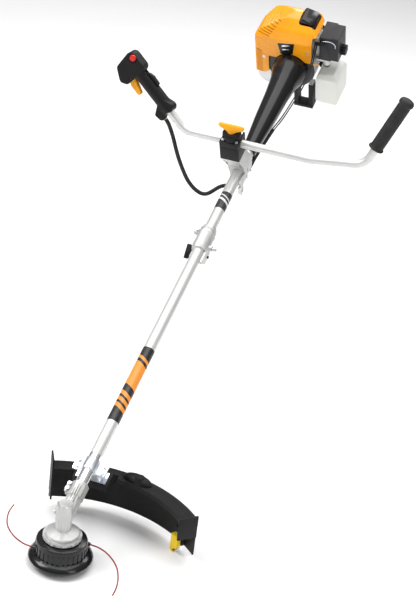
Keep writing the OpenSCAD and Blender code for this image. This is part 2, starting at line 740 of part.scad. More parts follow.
module piston() color("gainsboro") shaft() difference() {
    translate([0, cyl_at, 68]) cylinder(r = bore / 2 - fit, h = 34);
    translate([0, cyl_at, 66]) cylinder(r = bore / 2 - 4, h = 30);
    rod(4.5, cyl_at - 30, cyl_at + 30, 0, pin_z);
}

// Rod rises with the piston; its eye stands on the crank axis side at top dead centre
module con_rod() color("slategray") shaft() {
    difference() {
        union() {
            rod(11, cyl_at - 3, cyl_at + 5, 0, crank_r);
            box([-5, cyl_at - 2, crank_r + 8], [5, cyl_at + 4, pin_z - 4]);
            rod(8, cyl_at - 3, cyl_at + 5, 0, pin_z);
        }
        rod(7, cyl_at - 5, cyl_at + 7, 0, crank_r);
        rod(4.5, cyl_at - 5, cyl_at + 7, 0, pin_z);
    }
    rod(4.5, cyl_at - 19, cyl_at + 19, 0, pin_z);
}

module starter_housing() color([0.13, 0.13, 0.13]) shaft() difference() {
    union() {
        rod(62, engine_back, engine_back + 44);
        translate([0, engine_back + 44, 0]) rotate([-90, 0, 0]) cylinder(r1 = 62, r2 = 52, h = 8);
        // rope guide at the lower right
        rotate([0, 50, 0]) box([50, engine_back + 12, -9], [72, engine_back + 36, 9]);
    }
    rod(56, engine_back - 1, engine_back + 40);
    rotate([0, 50, 0]) pin_x(3, 40, 80, engine_back + 24, 0);
    // cooling slots in the back wall
    for (a = [0 : 20 : 359]) rotate([0, a, 0]) box([24, engine_back + 38, -2], [44, engine_back + 60, 2]);
}

module starter_pulley() color([0.3, 0.3, 0.3]) shaft()
    turned([[5, engine_back + 16], [42, engine_back + 16], [42, engine_back + 19], [30, engine_back + 20],
        [30, engine_back + 28], [42, engine_back + 29], [42, engine_back + 32], [5, engine_back + 32]]);

module starter_handle() color([0.1, 0.1, 0.1]) shaft() rotate([0, 50, 0]) {
    hull() for (y = [-18, 18]) pin_x(6, 73.5, 86, engine_back + 24 + y, 0);
    pin_x(2.4, 45, 74, engine_back + 24, 0);
}

// Cover over the cylinder and the muffler
cover_top = 138;
cover_from = engine_at - 6;
cover_to = engine_at + 116;

// Outer form of the cover, shrunk by a wall: front, side and top outlines crossed
module cover_form(w) {
    intersection() {
        translate([0, cover_to + 10, 0]) rotate([90, 0, 0]) linear_extrude(150)
            polygon([[-98 + w, -34], [-98 + w, 88 - w], [-90 + w, 102 - w], [-70 + w, 116 - w],
                [-40, 130 - w], [-10, cover_top - 1 - w], [28 - w, cover_top - 3 - w], [50 - w, 122 - w],
                [66 - w, 106 - w], [78 - w, 84 - w], [80 - w, 36], [0, 36], [-70, -34]]);
        translate([-120, 0, 0]) rotate([90, 0, 90]) linear_extrude(240)
            polygon([[cover_from + w, -40], [cover_from + w, 88], [cover_from + 14 + w, 113 - w],
                [cover_from + 40, 133 - w], [cover_from + 62, cover_top - w], [cover_from + 86, 130 - w],
                [cover_from + 108 - w, 104 - w], [cover_to - w, 62], [cover_to - w, -40]]);
        translate([0, 0, -50]) linear_extrude(250)
            polygon([[-98 + w, cover_from + w], [80 - w, cover_from + w], [80 - w, cover_from + 52],
                [66 - w, cover_from + 86 - w], [40, cover_from + 106 - w], [0, cover_to - w],
                [-40, cover_to - 10 - w], [-72 + w, cover_to - 30 - w], [-92 + w, cover_to - 58],
                [-98 + w, cover_to - 84]]);
    }
}
// Places of the cover screws, across and above the shaft
cover_screws = [[-72, 24], [45, 62]];
shroud_gap_r = 47.5;

module engine_cover() color("orange") shaft() difference() {
    cover_form(0);
    cover_form(cover_wall);
    // opening round the shroud in the front wall, and the arch over the fan housing and the starter
    rod(shroud_gap_r, cover_from - 1, cover_from + cover_wall + 1);
    rod(fan_r, cover_from + cover_wall, cover_to + 20);
    // plug opening, carburettor side and the lower edges
    box([12, cyl_at - 36, cover_top - 32], [56, cyl_at + 24, cover_top + 30]);
    box([56, cover_from - 10, 30], [120, cyl_at + 28, 106.5]);
    // way out of the exhaust, and the screw holes
    pin_x(8, -110, -84, cyl_at - 8, 60);
    for (p = cover_screws) rod(2.2, cover_from - 1, cover_from + 4, p[0], p[1]);
    box([-110, cover_from - 10, -60], [110, cover_to + 30, -33]);
    box([-60, cover_from - 10, -60], [110, cover_to + 30, 37]);
    // air slots in the upper left and the lower left of the front
    for (i = [0 : 6]) translate([-84, cover_from - 4, 60 + 8 * i]) rotate([0, 14, 0]) cube([26 + 3 * i, 30, 3]);
    for (i = [0 : 8]) translate([-95, cover_from - 4, -26 + 8 * i]) rotate([0, -24, 0]) cube([17, 26, 3]);
}

module muffler() color("dimgray") shaft() {
    box([-82, cyl_at - 21, 40], [-37, cyl_at + 4, 88]);
    difference() {
        pin_x(7, -37.5, -36, cyl_at, 62);
        pin_x(5, -38, -35, cyl_at, 62);
    }
    pin_x(6, -93, -81, cyl_at - 8, 60);
}

// Cap over the spark plug, standing through the cover
module plug_cover() color([0.1, 0.1, 0.1]) shaft() {
    translate([0, cyl_at, 103.5]) cylinder(r = 5.8, h = 9.5);
    hull() {
        box([16, cyl_at - 32, cover_top - 20], [48, cyl_at + 20, cover_top - 8]);
        translate([20, cyl_at - 26, cover_top - 4]) sphere(r = 6, $fn = 24);
        translate([20, cyl_at + 14, cover_top - 4]) sphere(r = 6, $fn = 24);
        translate([48, cyl_at - 22, cover_top - 16]) sphere(r = 6, $fn = 24);
        translate([48, cyl_at + 12, cover_top - 16]) sphere(r = 6, $fn = 24);
    }
    box([-6, cyl_at - 5, 113], [22, cyl_at + 5, cover_top - 12]);
}

carb_x = 44;
carb_z = 62;
primer_at = [88, engine_at + 29];

module carburettor() color("silver") shaft() difference() {
    union() {
        box([carb_x, cyl_at - 18, carb_z - 20], [carb_x + 26, cyl_at + 16, carb_z + 16]);
        box([carb_x + 4, cyl_at - 30, carb_z - 8], [carb_x + 22, cyl_at - 18, carb_z + 14]);
        // foot that reaches under the filter box and carries the primer
        box([carb_x + 17, cyl_at - 30, 24], [filter_x - 0.5, cyl_at - 18, 56]);
        box([carb_x + 17, cyl_at - 42, 24], [primer_at[0] + 10, cyl_at - 20, 29.5]);
        translate([primer_at[0], primer_at[1], 12]) cylinder(r = 10, h = 13);
    }
    pin_x(8, carb_x - 1, carb_x + 30, cyl_at, carb_z);
    // bores of the throttle spindle and the primer
    translate([carb_x + 13, cyl_at - 10, carb_z + 4]) cylinder(r = 2.5 + fit, h = 20);
    translate([primer_at[0], primer_at[1], 10]) cylinder(r = 8 + fit, h = 11);
}

module carb_lever() color("silver") shaft() {
    translate([carb_x + 13, cyl_at - 10, carb_z + 5]) cylinder(r = 2.5, h = 15);
    hull() for (y = [-10, -28]) translate([carb_x + 13, cyl_at + y, carb_z + 16.5])
        cylinder(r = 4.5, h = 2.5, $fn = 32);
}

module primer_bulb() color([0.25, 0.27, 0.12]) shaft() translate([primer_at[0], primer_at[1], 0])
    rotate_extrude() polygon([[0, 0], [5, 1], [8, 5], [8, 16], [0, 16]]);

filter_x = carb_x + 26;
filter_knob_at = [cyl_at - 8, 48];

module filter_box() color([0.25, 0.25, 0.27]) shaft() difference() {
    union() {
        box([filter_x, cyl_at - 42, 30], [filter_x + 30, cyl_at + 22, 104]);
        hull() for (y = [cyl_at - 36, cyl_at + 16], z = [36, 98]) pin_x(6, filter_x + 30, filter_x + 50, y, z);
    }
    box([filter_x + 4, cyl_at - 38, 34], [filter_x + 46, cyl_at + 18, 100]);
    pin_x(8, filter_x - 1, filter_x + 6, cyl_at, carb_z);
    pin_x(4 + fit, filter_x + 40, filter_x + 60, filter_knob_at[0], filter_knob_at[1]);
    translate([filter_x + 12, cyl_at - 50, 88]) rotate([-90, 0, 0]) cylinder(r = 3 + fit, h = 14);
}

module filter_knob() color([0.1, 0.1, 0.1]) shaft() {
    knob_y = filter_knob_at[0];
    knob_z = filter_knob_at[1];
    pin_x(4, filter_x + 38, filter_x + 52, knob_y, knob_z);
    difference() {
        pin_x(14, filter_x + 50.5, filter_x + 62, knob_y, knob_z);
        for (a = [0 : 60 : 359]) translate([0, knob_y, knob_z]) rotate([a, 0, 0])
            pin_x(4, filter_x + 49, filter_x + 63, 16, 0);
    }
}

module choke_lever() color([0.12, 0.12, 0.12]) shaft() {
    translate([filter_x + 12, cyl_at - 50, 88]) rotate([-90, 0, 0]) cylinder(r = 3, h = 11);
    hull() {
        translate([filter_x + 12, cyl_at - 50, 88]) rotate([-90, 0, 0]) cylinder(r = 5, h = 5, $fn = 32);
        translate([filter_x - 8, cyl_at - 50, 84]) rotate([-90, 0, 0]) cylinder(r = 3.5, h = 5, $fn = 32);
    }
}

// Outer form of the tank beside the fan housing, shrunk by a wall: front outline crossed with side outline
module tank_form(w) {
    intersection() {
        translate([0, engine_at + 85, 0]) rotate([90, 0, 0]) linear_extrude(90)
            polygon([[66 + w, -104], [66 + w, -22], [74 + w, -12 - w], [112, -9 - w], [122 - w, -18],
                [125 - w, -30], [125 - w, -98], [114, -115 + w], [78, -115 + w]]);
        translate([60, 0, 0]) rotate([90, 0, 90]) linear_extrude(70)
            polygon([[engine_at + 1 + w, -102], [engine_at + 1 + w, -24], [engine_at + 12, -8 - w],
                [engine_at + 72, -8 - w], [engine_at + 82 - w, -22], [engine_at + 82 - w, -96],
                [engine_at + 66, -116 + w], [engine_at + 12, -116 + w]]);
    }
}
cap_at = [96, -50];
tank_back = engine_at + 82;

module fuel_tank() color("white") shaft() difference() {
    tank_form(0);
    tank_form(2);
    rod(12, tank_back - 6, tank_back + 6, cap_at[0], cap_at[1]);
}

module fuel_cap() color([0.1, 0.1, 0.1]) shaft() {
    rod(11.6, tank_back - 5, tank_back + 2, cap_at[0], cap_at[1]);
    difference() {
        rod(17, tank_back + 0.4, tank_back + 9, cap_at[0], cap_at[1]);
        for (a = [0 : 30 : 359]) translate([cap_at[0], 0, cap_at[1]]) rotate([0, a, 0])
            rod(1.6, tank_back - 2, tank_back + 10, 17.6, 0);
    }
}

// ---------- throttle cable ----------

// Hand-set route: first [across, level, up] from the handle, then [across, along, above] the shaft
cable_points = concat(
    [[-184, 848, 586], [-174, 847, 574], [-160, 845, 548], [-139, 846, 496], [-113, 852, 446],
     [-87, 859, 420], [-64, 868, 415]],
    [for (p = [[-36, 985, -30], [-12, 1004, -34], [10, 1034, -36], [25, 1070, -30], [31, 1110, -20],
     [33, 1160, -10], [34, 1210, -2], [38, 1250, 2], [44, 1300, 4], [52, 1350, 10], [60, 1385, 30],
     [62, 1402, 52], [61, 1420, 66], [59, 1434, 70], [57, 1442, 71]]) on_shaft(p)]);
cable_steps = 3;
sleeve_r = 5;
wire_r = 3;

module throttle_cable() color([0.08, 0.08, 0.08]) place() {
    r = route(cable_points, cable_steps);
    thin_from = 12 * cable_steps;
    sweep(r, [for (i = [0 : len(r) - 1]) i < thin_from ? sleeve_r : wire_r], 10, [0.3, 0.1, 1]);
}

// ---------- handlebar ----------

// Route of the bar in its upright plane: straight run, shallow rise, bend and end leg
bend_r = 45;
bend_steps = 7;
right_flat = 190;
right_rise = 8;
right_mid = bar_right - right_flat - 20;
right_lean = 67;
right_leg = 155;
left_flat = bar_left - 18;
left_lean = 90 - hand_lean;
left_leg = 142;

// Points of a bend that starts at p, heads a degrees above level and turns upwards by t degrees
function bend(p, a, t) = [for (i = [0 : bend_steps]) let (b = a + t * i / bend_steps)
    p + bend_r * [sin(b) - sin(a), 0, cos(a) - cos(b)]];
// Point at a distance along a heading
function ahead(p, a, l) = p + l * [cos(a), 0, sin(a)];
function last(p) = p[len(p) - 1];

right_first = bend([right_flat, 0, 0], 0, right_rise);
right_second = bend(ahead(last(right_first), right_rise, right_mid), right_rise, right_lean - right_rise);
right_end = ahead(last(right_second), right_lean, right_leg);
left_bend = bend([left_flat, 0, 0], 0, left_lean);
left_end = ahead(last(left_bend), left_lean, left_leg);
bar_route = concat([[-left_end[0], 0, left_end[2]]],
    [for (i = [bend_steps : -1 : 0]) [-left_bend[i][0], 0, left_bend[i][2]]],
    right_first, right_second, [right_end]);

module handlebar() color("gainsboro") upright()
    sweep_tube(bar_route, bar_r, bar_r - 1.5, 20, [0, 1, 0]);

// Frame at the end of the right leg, +X towards the tip
module right_tip() {
    upright() translate(right_end) rotate([0, -right_lean, 0]) children();
}

module grip() color([0.1, 0.1, 0.1]) right_tip() difference() {
    rotate([0, 90, 0]) rotate_extrude() polygon([[0, 8], [grip_d / 2 - 5, 8], [grip_d / 2, 4],
        [grip_d / 2 + 2, 0], [grip_d / 2 + 2, -4], [grip_d / 2, -6], [grip_d / 2, 14 - grip_l],
        [grip_d / 2 + 3, 12 - grip_l], [grip_d / 2 + 3, 8 - grip_l], [0, 8 - grip_l]]);
    pin_x(bar_r, -grip_l, 0, 0, 0);
}

trigger_pivot = [-24, 118];
lock_pivot = [11, 104];
switch_at = [16, 152];
hand_r = 17;

// Round-ended plate across the handle, from a list of [x, z, r]
module slab(discs, thick) {
    hull() for (d = discs) translate([d[0], thick / 2, d[1]]) rotate([90, 0, 0])
        cylinder(r = d[2], h = thick, $fn = 32);
}
// Cross-wise cylinder at [x, z] in the handle's frame
module cross(r, at, thick) {
    translate([at[0], thick / 2, at[1]]) rotate([90, 0, 0]) cylinder(r = r, h = thick);
}

module throttle_body() color([0.12, 0.12, 0.12]) hand() difference() {
    union() {
        cylinder(r = hand_r, h = 124);
        // head bulb
        slab([[11, 156, 13], [-25, 149, 14], [-39, 129, 11], [-36, 120, 8], [11, 126, 13]], 2 * hand_r);
        // clamp lug and cable boss at the lower end
        slab([[7, 8, 12], [0, 20, 14]], 30);
        slab([[-24, 2, 10], [-30, 12, 6], [0, 26, 12]], 18);
    }
    // socket of the bar, slots of the trigger and of the lock-out lever
    translate([0, 0, -20]) cylinder(r = bar_r, h = left_leg - hand_from + 20);
    box([-60, -7.5, 68], [-12, 7.5, 127]);
    box([8, -6, 62], [30, 6, 112]);
    cross(2 + fit, trigger_pivot, 60);
    cross(2 + fit, lock_pivot, 60);
    cross(3, [22, 8], 60);
    translate([switch_at[0], -30, switch_at[1]]) rotate([-90, 0, 0]) cylinder(r = 8.4, h = 19);
}

module throttle_trigger() color("orange") hand() {
    slab([[trigger_pivot[0], trigger_pivot[1], 7.5], [-33, 104, 6], [-34, 80, 5]], 14);
    cross(2, trigger_pivot, 28);
}

module lockout_lever() color([0.1, 0.1, 0.1]) hand() {
    slab([[15.5, 98, 4], [20, 88, 3], [18.5, 68, 3]], 10);
    slab([[lock_pivot[0], lock_pivot[1], 2.4], [15.5, 98, 4]], 8);
    cross(2, lock_pivot, 24);
}

module stop_switch() color("red") hand()
    translate([switch_at[0], 0, switch_at[1]]) rotate([90, 0, 0]) {
        translate([0, 0, 14.5]) cylinder(r = 8, h = 4.5);
        translate([0, 0, 19]) cylinder(r1 = 8, r2 = 6.5, h = 2);
    }

// ---------- the list ----------

gear_case();
boom_screws();
boom_bearings();
lower_tube();
guard_bracket();
guard();
line_cutter();
cutter_cover();
arbor();
bevel_gear();
head_housing();
left_line();
right_line();
spool();
wound_line();
bump_knob();
drive_shaft_lower();
bevel_pinion();
upper_tube();
shaft_coupler();
frame_screws();
bar_base();
clamp_block();
clamp_cap();
shaft_shroud();
fan_housing();
crankcase();
engine_cylinder();
drive_bearings();
muffler();
plug_cover();
engine_cover();
carburettor();
filter_box();
fuel_tank();
starter_housing();
throttle_cable();
coupler_knob();
coupler_latch();
wing_knob();
carb_lever();
choke_lever();
primer_bulb();
filter_knob();
fuel_cap();
drive_shaft_upper();
clutch_drum();
crankshaft();
flywheel();
clutch_shoes();
piston();
con_rod();
starter_pulley();
starter_handle();
handlebar();
grip();
throttle_body();
throttle_trigger();
lockout_lever();
stop_switch();
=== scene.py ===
import json
import math

import bmesh
import bpy
from mathutils import Matrix, Vector


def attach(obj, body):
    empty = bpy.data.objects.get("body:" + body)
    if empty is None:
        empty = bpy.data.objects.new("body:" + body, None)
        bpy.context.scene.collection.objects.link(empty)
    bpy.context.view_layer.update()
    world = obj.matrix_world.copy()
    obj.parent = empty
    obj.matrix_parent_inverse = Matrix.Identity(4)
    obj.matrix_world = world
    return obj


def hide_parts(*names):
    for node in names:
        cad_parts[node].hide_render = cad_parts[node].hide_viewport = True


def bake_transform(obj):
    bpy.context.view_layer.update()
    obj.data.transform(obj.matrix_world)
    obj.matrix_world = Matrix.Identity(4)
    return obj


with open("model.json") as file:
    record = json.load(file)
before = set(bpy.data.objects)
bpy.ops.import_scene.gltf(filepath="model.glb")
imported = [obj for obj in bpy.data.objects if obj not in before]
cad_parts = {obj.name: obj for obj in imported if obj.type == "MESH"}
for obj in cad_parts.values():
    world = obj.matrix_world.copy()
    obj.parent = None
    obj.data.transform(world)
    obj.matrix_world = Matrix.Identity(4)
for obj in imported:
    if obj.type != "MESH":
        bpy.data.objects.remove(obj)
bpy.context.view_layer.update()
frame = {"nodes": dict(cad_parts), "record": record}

MM = 0.001

# ---------------------------------------------------------------- driving sizes, in millimetres
RISE = math.radians(28)                 # slope of the shaft
EYE = (17.5, 985.0, -26.0)              # harness eye in the shaft frame: the row's origin
TUBE_R = 14.0
CLAMP = (-10.0, 1016.0, 104.0)          # clamp centre of the handlebar in the shaft frame
BAR_R = 10.0
HAND_LEAN = math.radians(48)
BEND_R = 45.0
ENGINE_AT = 1412.0
CYL_AT = ENGINE_AT + 60
COVER_TOP = 138.0
GUARD_CENTRE = (35.0, -85.0)
GUARD_R = 301.0
GUARD_TOP = 12.0


# ---------------------------------------------------------------- frames of the object
def turn(axis, angle):
    return Matrix.Rotation(angle, 4, axis)


def shift(x, y, z):
    return Matrix.Translation((x, y, z))


HEAD = Matrix.Scale(MM, 4) @ shift(*(-(turn("X", RISE) @ Vector(EYE))))
SHAFT = HEAD @ turn("X", RISE)
BAR = SHAFT @ shift(*CLAMP) @ turn("X", -RISE)


def heading(a):
    return Vector((math.cos(a), 0, math.sin(a)))


def bend(p, a, t, steps=10):
    """Points of a bend that starts at p, heads a above level and turns upwards by t."""
    out = []
    for i in range(steps + 1):
        b = a + t * i / steps
        out.append(p + BEND_R * Vector((math.sin(b) - math.sin(a), 0, math.cos(a) - math.cos(b))))
    return out


RIGHT_RISE, RIGHT_LEAN = math.radians(8), math.radians(67)
LEFT_LEAN = math.pi / 2 - HAND_LEAN
right_first = bend(Vector((190, 0, 0)), 0, RIGHT_RISE, 4)
right_second = bend(right_first[-1] + 105 * heading(RIGHT_RISE), RIGHT_RISE, RIGHT_LEAN - RIGHT_RISE)
right_end = right_second[-1] + 155 * heading(RIGHT_LEAN)
left_bend = bend(Vector((104, 0, 0)), 0, LEFT_LEAN)
left_end = left_bend[-1] + 142 * heading(LEFT_LEAN)


def mirrored(p):
    return Vector((-p[0], p[1], p[2]))


TIP = BAR @ shift(*right_end) @ turn("Y", math.pi / 2 - RIGHT_LEAN)
ALONG = turn("X", -math.pi / 2)          # turns +Z to +Y, so that a lathe runs up the shaft


# ---------------------------------------------------------------- mesh helpers
def link(name, mesh):
    obj = bpy.data.objects.new(name, mesh)
    bpy.context.scene.collection.objects.link(obj)
    return obj


def finished(obj, smooth_angle=35):
    for p in obj.data.polygons:
        p.use_smooth = True
    obj.data.set_sharp_from_angle(angle=math.radians(smooth_angle))
    return obj


def from_data(name, verts, faces, matrix=None):
    mesh = bpy.data.meshes.new(name)
    mesh.from_pydata([tuple(v) for v in verts], [], faces)
    if matrix is not None:
        mesh.transform(matrix)
    bm = bmesh.new()
    bm.from_mesh(mesh)
    bmesh.ops.remove_doubles(bm, verts=bm.verts, dist=1e-7)
    bmesh.ops.recalc_face_normals(bm, faces=bm.faces)
    bm.to_mesh(mesh)
    bm.free()
    return link(name, mesh)


def baked(obj):
    """Applies the modifiers of obj to its mesh."""
    bpy.context.view_layer.update()
    graph = bpy.context.evaluated_depsgraph_get()
    mesh = bpy.data.meshes.new_from_object(obj.evaluated_get(graph))
    obj.modifiers.clear()
    old = obj.data
    obj.data = mesh
    bpy.data.meshes.remove(old)
    return obj


def softened(obj, width, segments=3, angle=30):
    """Rounds the edges of obj by width, in millimetres."""
    m = obj.modifiers.new("round", "BEVEL")
    m.width = width * MM
    m.segments = segments
    m.limit_method = "ANGLE"
    m.angle_limit = math.radians(angle)
    m.use_clamp_overlap = True
    return baked(obj)


def cut(obj, cutters):
    """Takes the cutters out of obj."""
    for tool in cutters:
        m = obj.modifiers.new("cut", "BOOLEAN")
        m.operation = "DIFFERENCE"
        m.solver = "MANIFOLD"
        m.object = tool
        baked(obj)
        bpy.data.objects.remove(tool)
    return obj


def crossed(name, objs):
    """What the given solids have in common."""
    first = objs[0]
    for other in objs[1:]:
        m = first.modifiers.new("cross", "BOOLEAN")
        m.operation = "INTERSECT"
        m.solver = "EXACT"
        m.object = other
        baked(first)
        bpy.data.objects.remove(other)
    first.name = name
    return first


def melted(obj, grid, passes):
    """Rebuilds obj on an even grid, in millimetres, and smooths it so that every edge flows."""
    m = obj.modifiers.new("grid", "REMESH")
    m.mode = "VOXEL"
    m.voxel_size = grid * MM
    baked(obj)
    m = obj.modifiers.new("flow", "SMOOTH")
    m.factor = 0.5
    m.iterations = passes
    baked(obj)
    return finished(obj, 50)


def shelled(obj, wall):
    """Makes a closed solid hollow, with a wall that grows inwards."""
    m = obj.modifiers.new("wall", "SOLIDIFY")
    m.thickness = wall * MM
    m.offset = -1
    return baked(obj)


def lathe(name, outline, matrix, segs=96):
    """Solid of revolution about local Z from an outline of (radius, height)."""
    verts, faces, rings = [], [], []
    for r, h in outline:
        if r < 1e-6:
            rings.append([len(verts)] * segs)
            verts.append((0, 0, h))
        else:
            rings.append(list(range(len(verts), len(verts) + segs)))
            for k in range(segs):
                a = 2 * math.pi * k / segs
                verts.append((r * math.cos(a), r * math.sin(a), h))
    closed = outline[0] != outline[-1] and outline[0][0] > 1e-6 and outline[-1][0] > 1e-6
    pairs = list(zip(rings, rings[1:])) + ([(rings[-1], rings[0])] if closed else [])
    for low, high in pairs:
        for k in range(segs):
            m = (k + 1) % segs
            face = [low[k], low[m], high[m], high[k]]
            face = [v for i, v in enumerate(face) if v not in face[:i]]
            if len(face) > 2:
                faces.append(face)
    return finished(from_data(name, verts, faces, matrix), 28)


def frames_along(points):
    """Side and up vectors along a path, carried without twist."""
    n = len(points)
    tangents = [(points[min(i + 1, n - 1)] - points[max(i - 1, 0)]).normalized() for i in range(n)]
    up = Vector((0.13, 1, 0.21))
    side = tangents[0].cross(up).normalized()
    out = []
    for t in tangents:
        side = (side - t * side.dot(t)).normalized()
        out.append((side, t.cross(side)))
    return out


def tube(name, points, radius, matrix, sides=20, hollow=0.0):
    """Round rod or tube along points; radius is a number or one for each point."""
    points = [Vector(p) for p in points]
    n = len(points)
    radii = radius if isinstance(radius, (list, tuple)) else [radius] * n
    frames = frames_along(points)
    verts, faces = [], []
    shells = [radii] if not hollow else [radii, [r - hollow for r in radii]]
    for shell in shells:
        for p, (a, b), r in zip(points, frames, shell):
            for k in range(sides):
                w = 2 * math.pi * k / sides
                verts.append(p + a * r * math.cos(w) + b * r * math.sin(w))
    for s in range(len(shells)):
        base = s * n * sides
        for i in range(n - 1):
            for k in range(sides):
                m = (k + 1) % sides
                j = base + i * sides
                faces.append([j + k, j + m, j + sides + m, j + sides + k])
    if hollow:
        for end in (0, (n - 1) * sides):
            for k in range(sides):
                m = (k + 1) % sides
                faces.append([end + k, end + m, n * sides + end + m, n * sides + end + k])
    else:
        faces.append(list(range(sides))[::-1])
        faces.append(list(range((n - 1) * sides, n * sides)))
    return finished(from_data(name, verts, faces, matrix))


def box(name, low, high, matrix, width=0.0, segments=3):
    x0, y0, z0 = low
    x1, y1, z1 = high
    verts = [(x, y, z) for x in (x0, x1) for y in (y0, y1) for z in (z0, z1)]
    faces = [[0, 1, 3, 2], [4, 6, 7, 5], [0, 4, 5, 1], [2, 3, 7, 6], [0, 2, 6, 4], [1, 5, 7, 3]]
    obj = from_data(name, verts, faces, matrix)
    if width:
        softened(obj, width, segments)
    return finished(obj)


def prism(name, outline, depth, matrix, width=0.0, segments=3):
    """Outline of (x, y), pushed along +Z from 0 to depth."""
    n = len(outline)
    verts = [(x, y, z) for z in (0, depth) for x, y in outline]
    faces = [list(range(n))[::-1], list(range(n, 2 * n))]
    faces += [[k, (k + 1) % n, n + (k + 1) % n, n + k] for k in range(n)]
    obj = from_data(name, verts, faces, matrix)
    if width:
        softened(obj, width, segments)
    return finished(obj)


def smooth_route(points, steps):
    """Catmull-Rom curve through points."""
    points = [Vector(p) for p in points]
    n = len(points)
    out = []
    for i in range(n - 1):
        p0, p1, p2, p3 = points[max(i - 1, 0)], points[i], points[i + 1], points[min(i + 2, n - 1)]
        for k in range(steps):
            u = k / steps
            out.append(0.5 * (2 * p1 + (p2 - p0) * u + (2 * p0 - 5 * p1 + 4 * p2 - p3) * u * u
                              + (3 * p1 - p0 - 3 * p2 + p3) * u * u * u))
    out.append(points[-1])
    return out


# ---------------------------------------------------------------- camera
CAMERA_AT = Vector((0.91157, -3.08371, 1.22357))
CAMERA_YAW, CAMERA_PITCH, CAMERA_ROLL = math.radians(17.27), math.radians(25.43), math.radians(7.44)
LENS = 84.3

camera_data = bpy.data.cameras.new("camera")
camera_data.lens = LENS
camera_data.sensor_width = 36
camera_data.clip_end = 50
camera = link("camera", camera_data)
camera.matrix_world = (
    Matrix.Translation(CAMERA_AT)
    @ turn("Z", CAMERA_YAW)
    @ turn("X", math.pi / 2 - CAMERA_PITCH)
    @ turn("Z", CAMERA_ROLL)
)
bpy.context.scene.camera = camera


# ---------------------------------------------------------------- materials
def new_material(name):
    mat = bpy.data.materials.new(name)
    mat.use_nodes = True
    tree = mat.node_tree
    return mat, tree, tree.nodes["Principled BSDF"]


def coordinates(tree, scale=(1, 1, 1), tilt=0.0):
    """Object coordinates, turned so that their Y runs up a shaft with that tilt."""
    where = tree.nodes.new("ShaderNodeTexCoord")
    mapping = tree.nodes.new("ShaderNodeMapping")
    mapping.vector_type = "TEXTURE"
    mapping.inputs["Rotation"].default_value = (tilt, 0, 0)
    tree.links.new(where.outputs["Object"], mapping.inputs["Vector"])
    stretch = tree.nodes.new("ShaderNodeVectorMath")
    stretch.operation = "MULTIPLY"
    stretch.inputs[1].default_value = scale
    tree.links.new(mapping.outputs["Vector"], stretch.inputs[0])
    return stretch.outputs["Vector"]


def noise_node(tree, vector, scale, detail=4, rough=0.55):
    n = tree.nodes.new("ShaderNodeTexNoise")
    n.inputs["Scale"].default_value = scale
    n.inputs["Detail"].default_value = detail
    n.inputs["Roughness"].default_value = rough
    tree.links.new(vector, n.inputs["Vector"])
    return n.outputs["Fac"]


def ramp(tree, fac, stops):
    r = tree.nodes.new("ShaderNodeValToRGB")
    r.color_ramp.elements[0].position = stops[0][0]
    r.color_ramp.elements[0].color = (*stops[0][1], 1)
    r.color_ramp.elements[1].position = stops[-1][0]
    r.color_ramp.elements[1].color = (*stops[-1][1], 1)
    for place, colour in stops[1:-1]:
        e = r.color_ramp.elements.new(place)
        e.color = (*colour, 1)
    tree.links.new(fac, r.inputs["Fac"])
    return r.outputs["Color"]


def spread(tree, fac, low, high):
    m = tree.nodes.new("ShaderNodeMapRange")
    m.inputs["To Min"].default_value = low
    m.inputs["To Max"].default_value = high
    tree.links.new(fac, m.inputs["Value"])
    return m.outputs["Result"]


def bump(tree, shader, heights):
    """Chains bumps of (height output, strength, distance in millimetres)."""
    last = None
    for height, strength, distance in heights:
        b = tree.nodes.new("ShaderNodeBump")
        b.inputs["Strength"].default_value = strength
        b.inputs["Distance"].default_value = distance * MM
        tree.links.new(height, b.inputs["Height"])
        if last:
            tree.links.new(last, b.inputs["Normal"])
        last = b.outputs["Normal"]
    tree.links.new(last, shader.inputs["Normal"])


def shade(colour, k):
    return tuple(min(1.0, c * k) for c in colour)


def worn(tree, amount):
    """Mask of raised edges, for wear."""
    g = tree.nodes.new("ShaderNodeNewGeometry")
    r = ramp(tree, g.outputs["Pointiness"], [(0.52, (0, 0, 0)), (0.6, (amount, amount, amount))])
    return r


def blended(tree, mask, a, b):
    mix = tree.nodes.new("ShaderNodeMix")
    mix.data_type = "RGBA"
    tree.links.new(mask, mix.inputs["Factor"])
    for value, socket in ((a, mix.inputs["A"]), (b, mix.inputs["B"])):
        if isinstance(value, tuple):
            socket.default_value = (*value, 1)
        else:
            tree.links.new(value, socket)
    return mix.outputs["Result"]


def plastic(name, colour, rough, grain=0.0, coat=0.0, wear=0.25):
    """Moulded plastic: uneven tone, scuffs, fine grain and rubbed edges."""
    mat, tree, s = new_material(name)
    v = coordinates(tree)
    cloud = noise_node(tree, v, 14, 5)
    fine = noise_node(tree, v, 900, 3)
    scuff = noise_node(tree, coordinates(tree, (1, 0.25, 1), RISE), 160, 6, 0.7)
    base = ramp(tree, cloud, [(0.3, shade(colour, 0.88)), (0.55, colour), (0.8, shade(colour, 1.1))])
    tone = blended(tree, worn(tree, wear), base, shade(tuple(0.35 * c + 0.02 for c in colour), 1.6))
    tree.links.new(tone, s.inputs["Base Color"])
    tree.links.new(spread(tree, scuff, rough * 0.75, min(1.0, rough * 1.35)), s.inputs["Roughness"])
    s.inputs["Specular IOR Level"].default_value = 0.22
    s.inputs["Coat Weight"].default_value = coat
    s.inputs["Coat Roughness"].default_value = 0.12
    bump(tree, s, [(cloud, 0.12, 0.6), (fine, 0.25 + grain, 0.05 + 0.25 * grain)])
    return mat


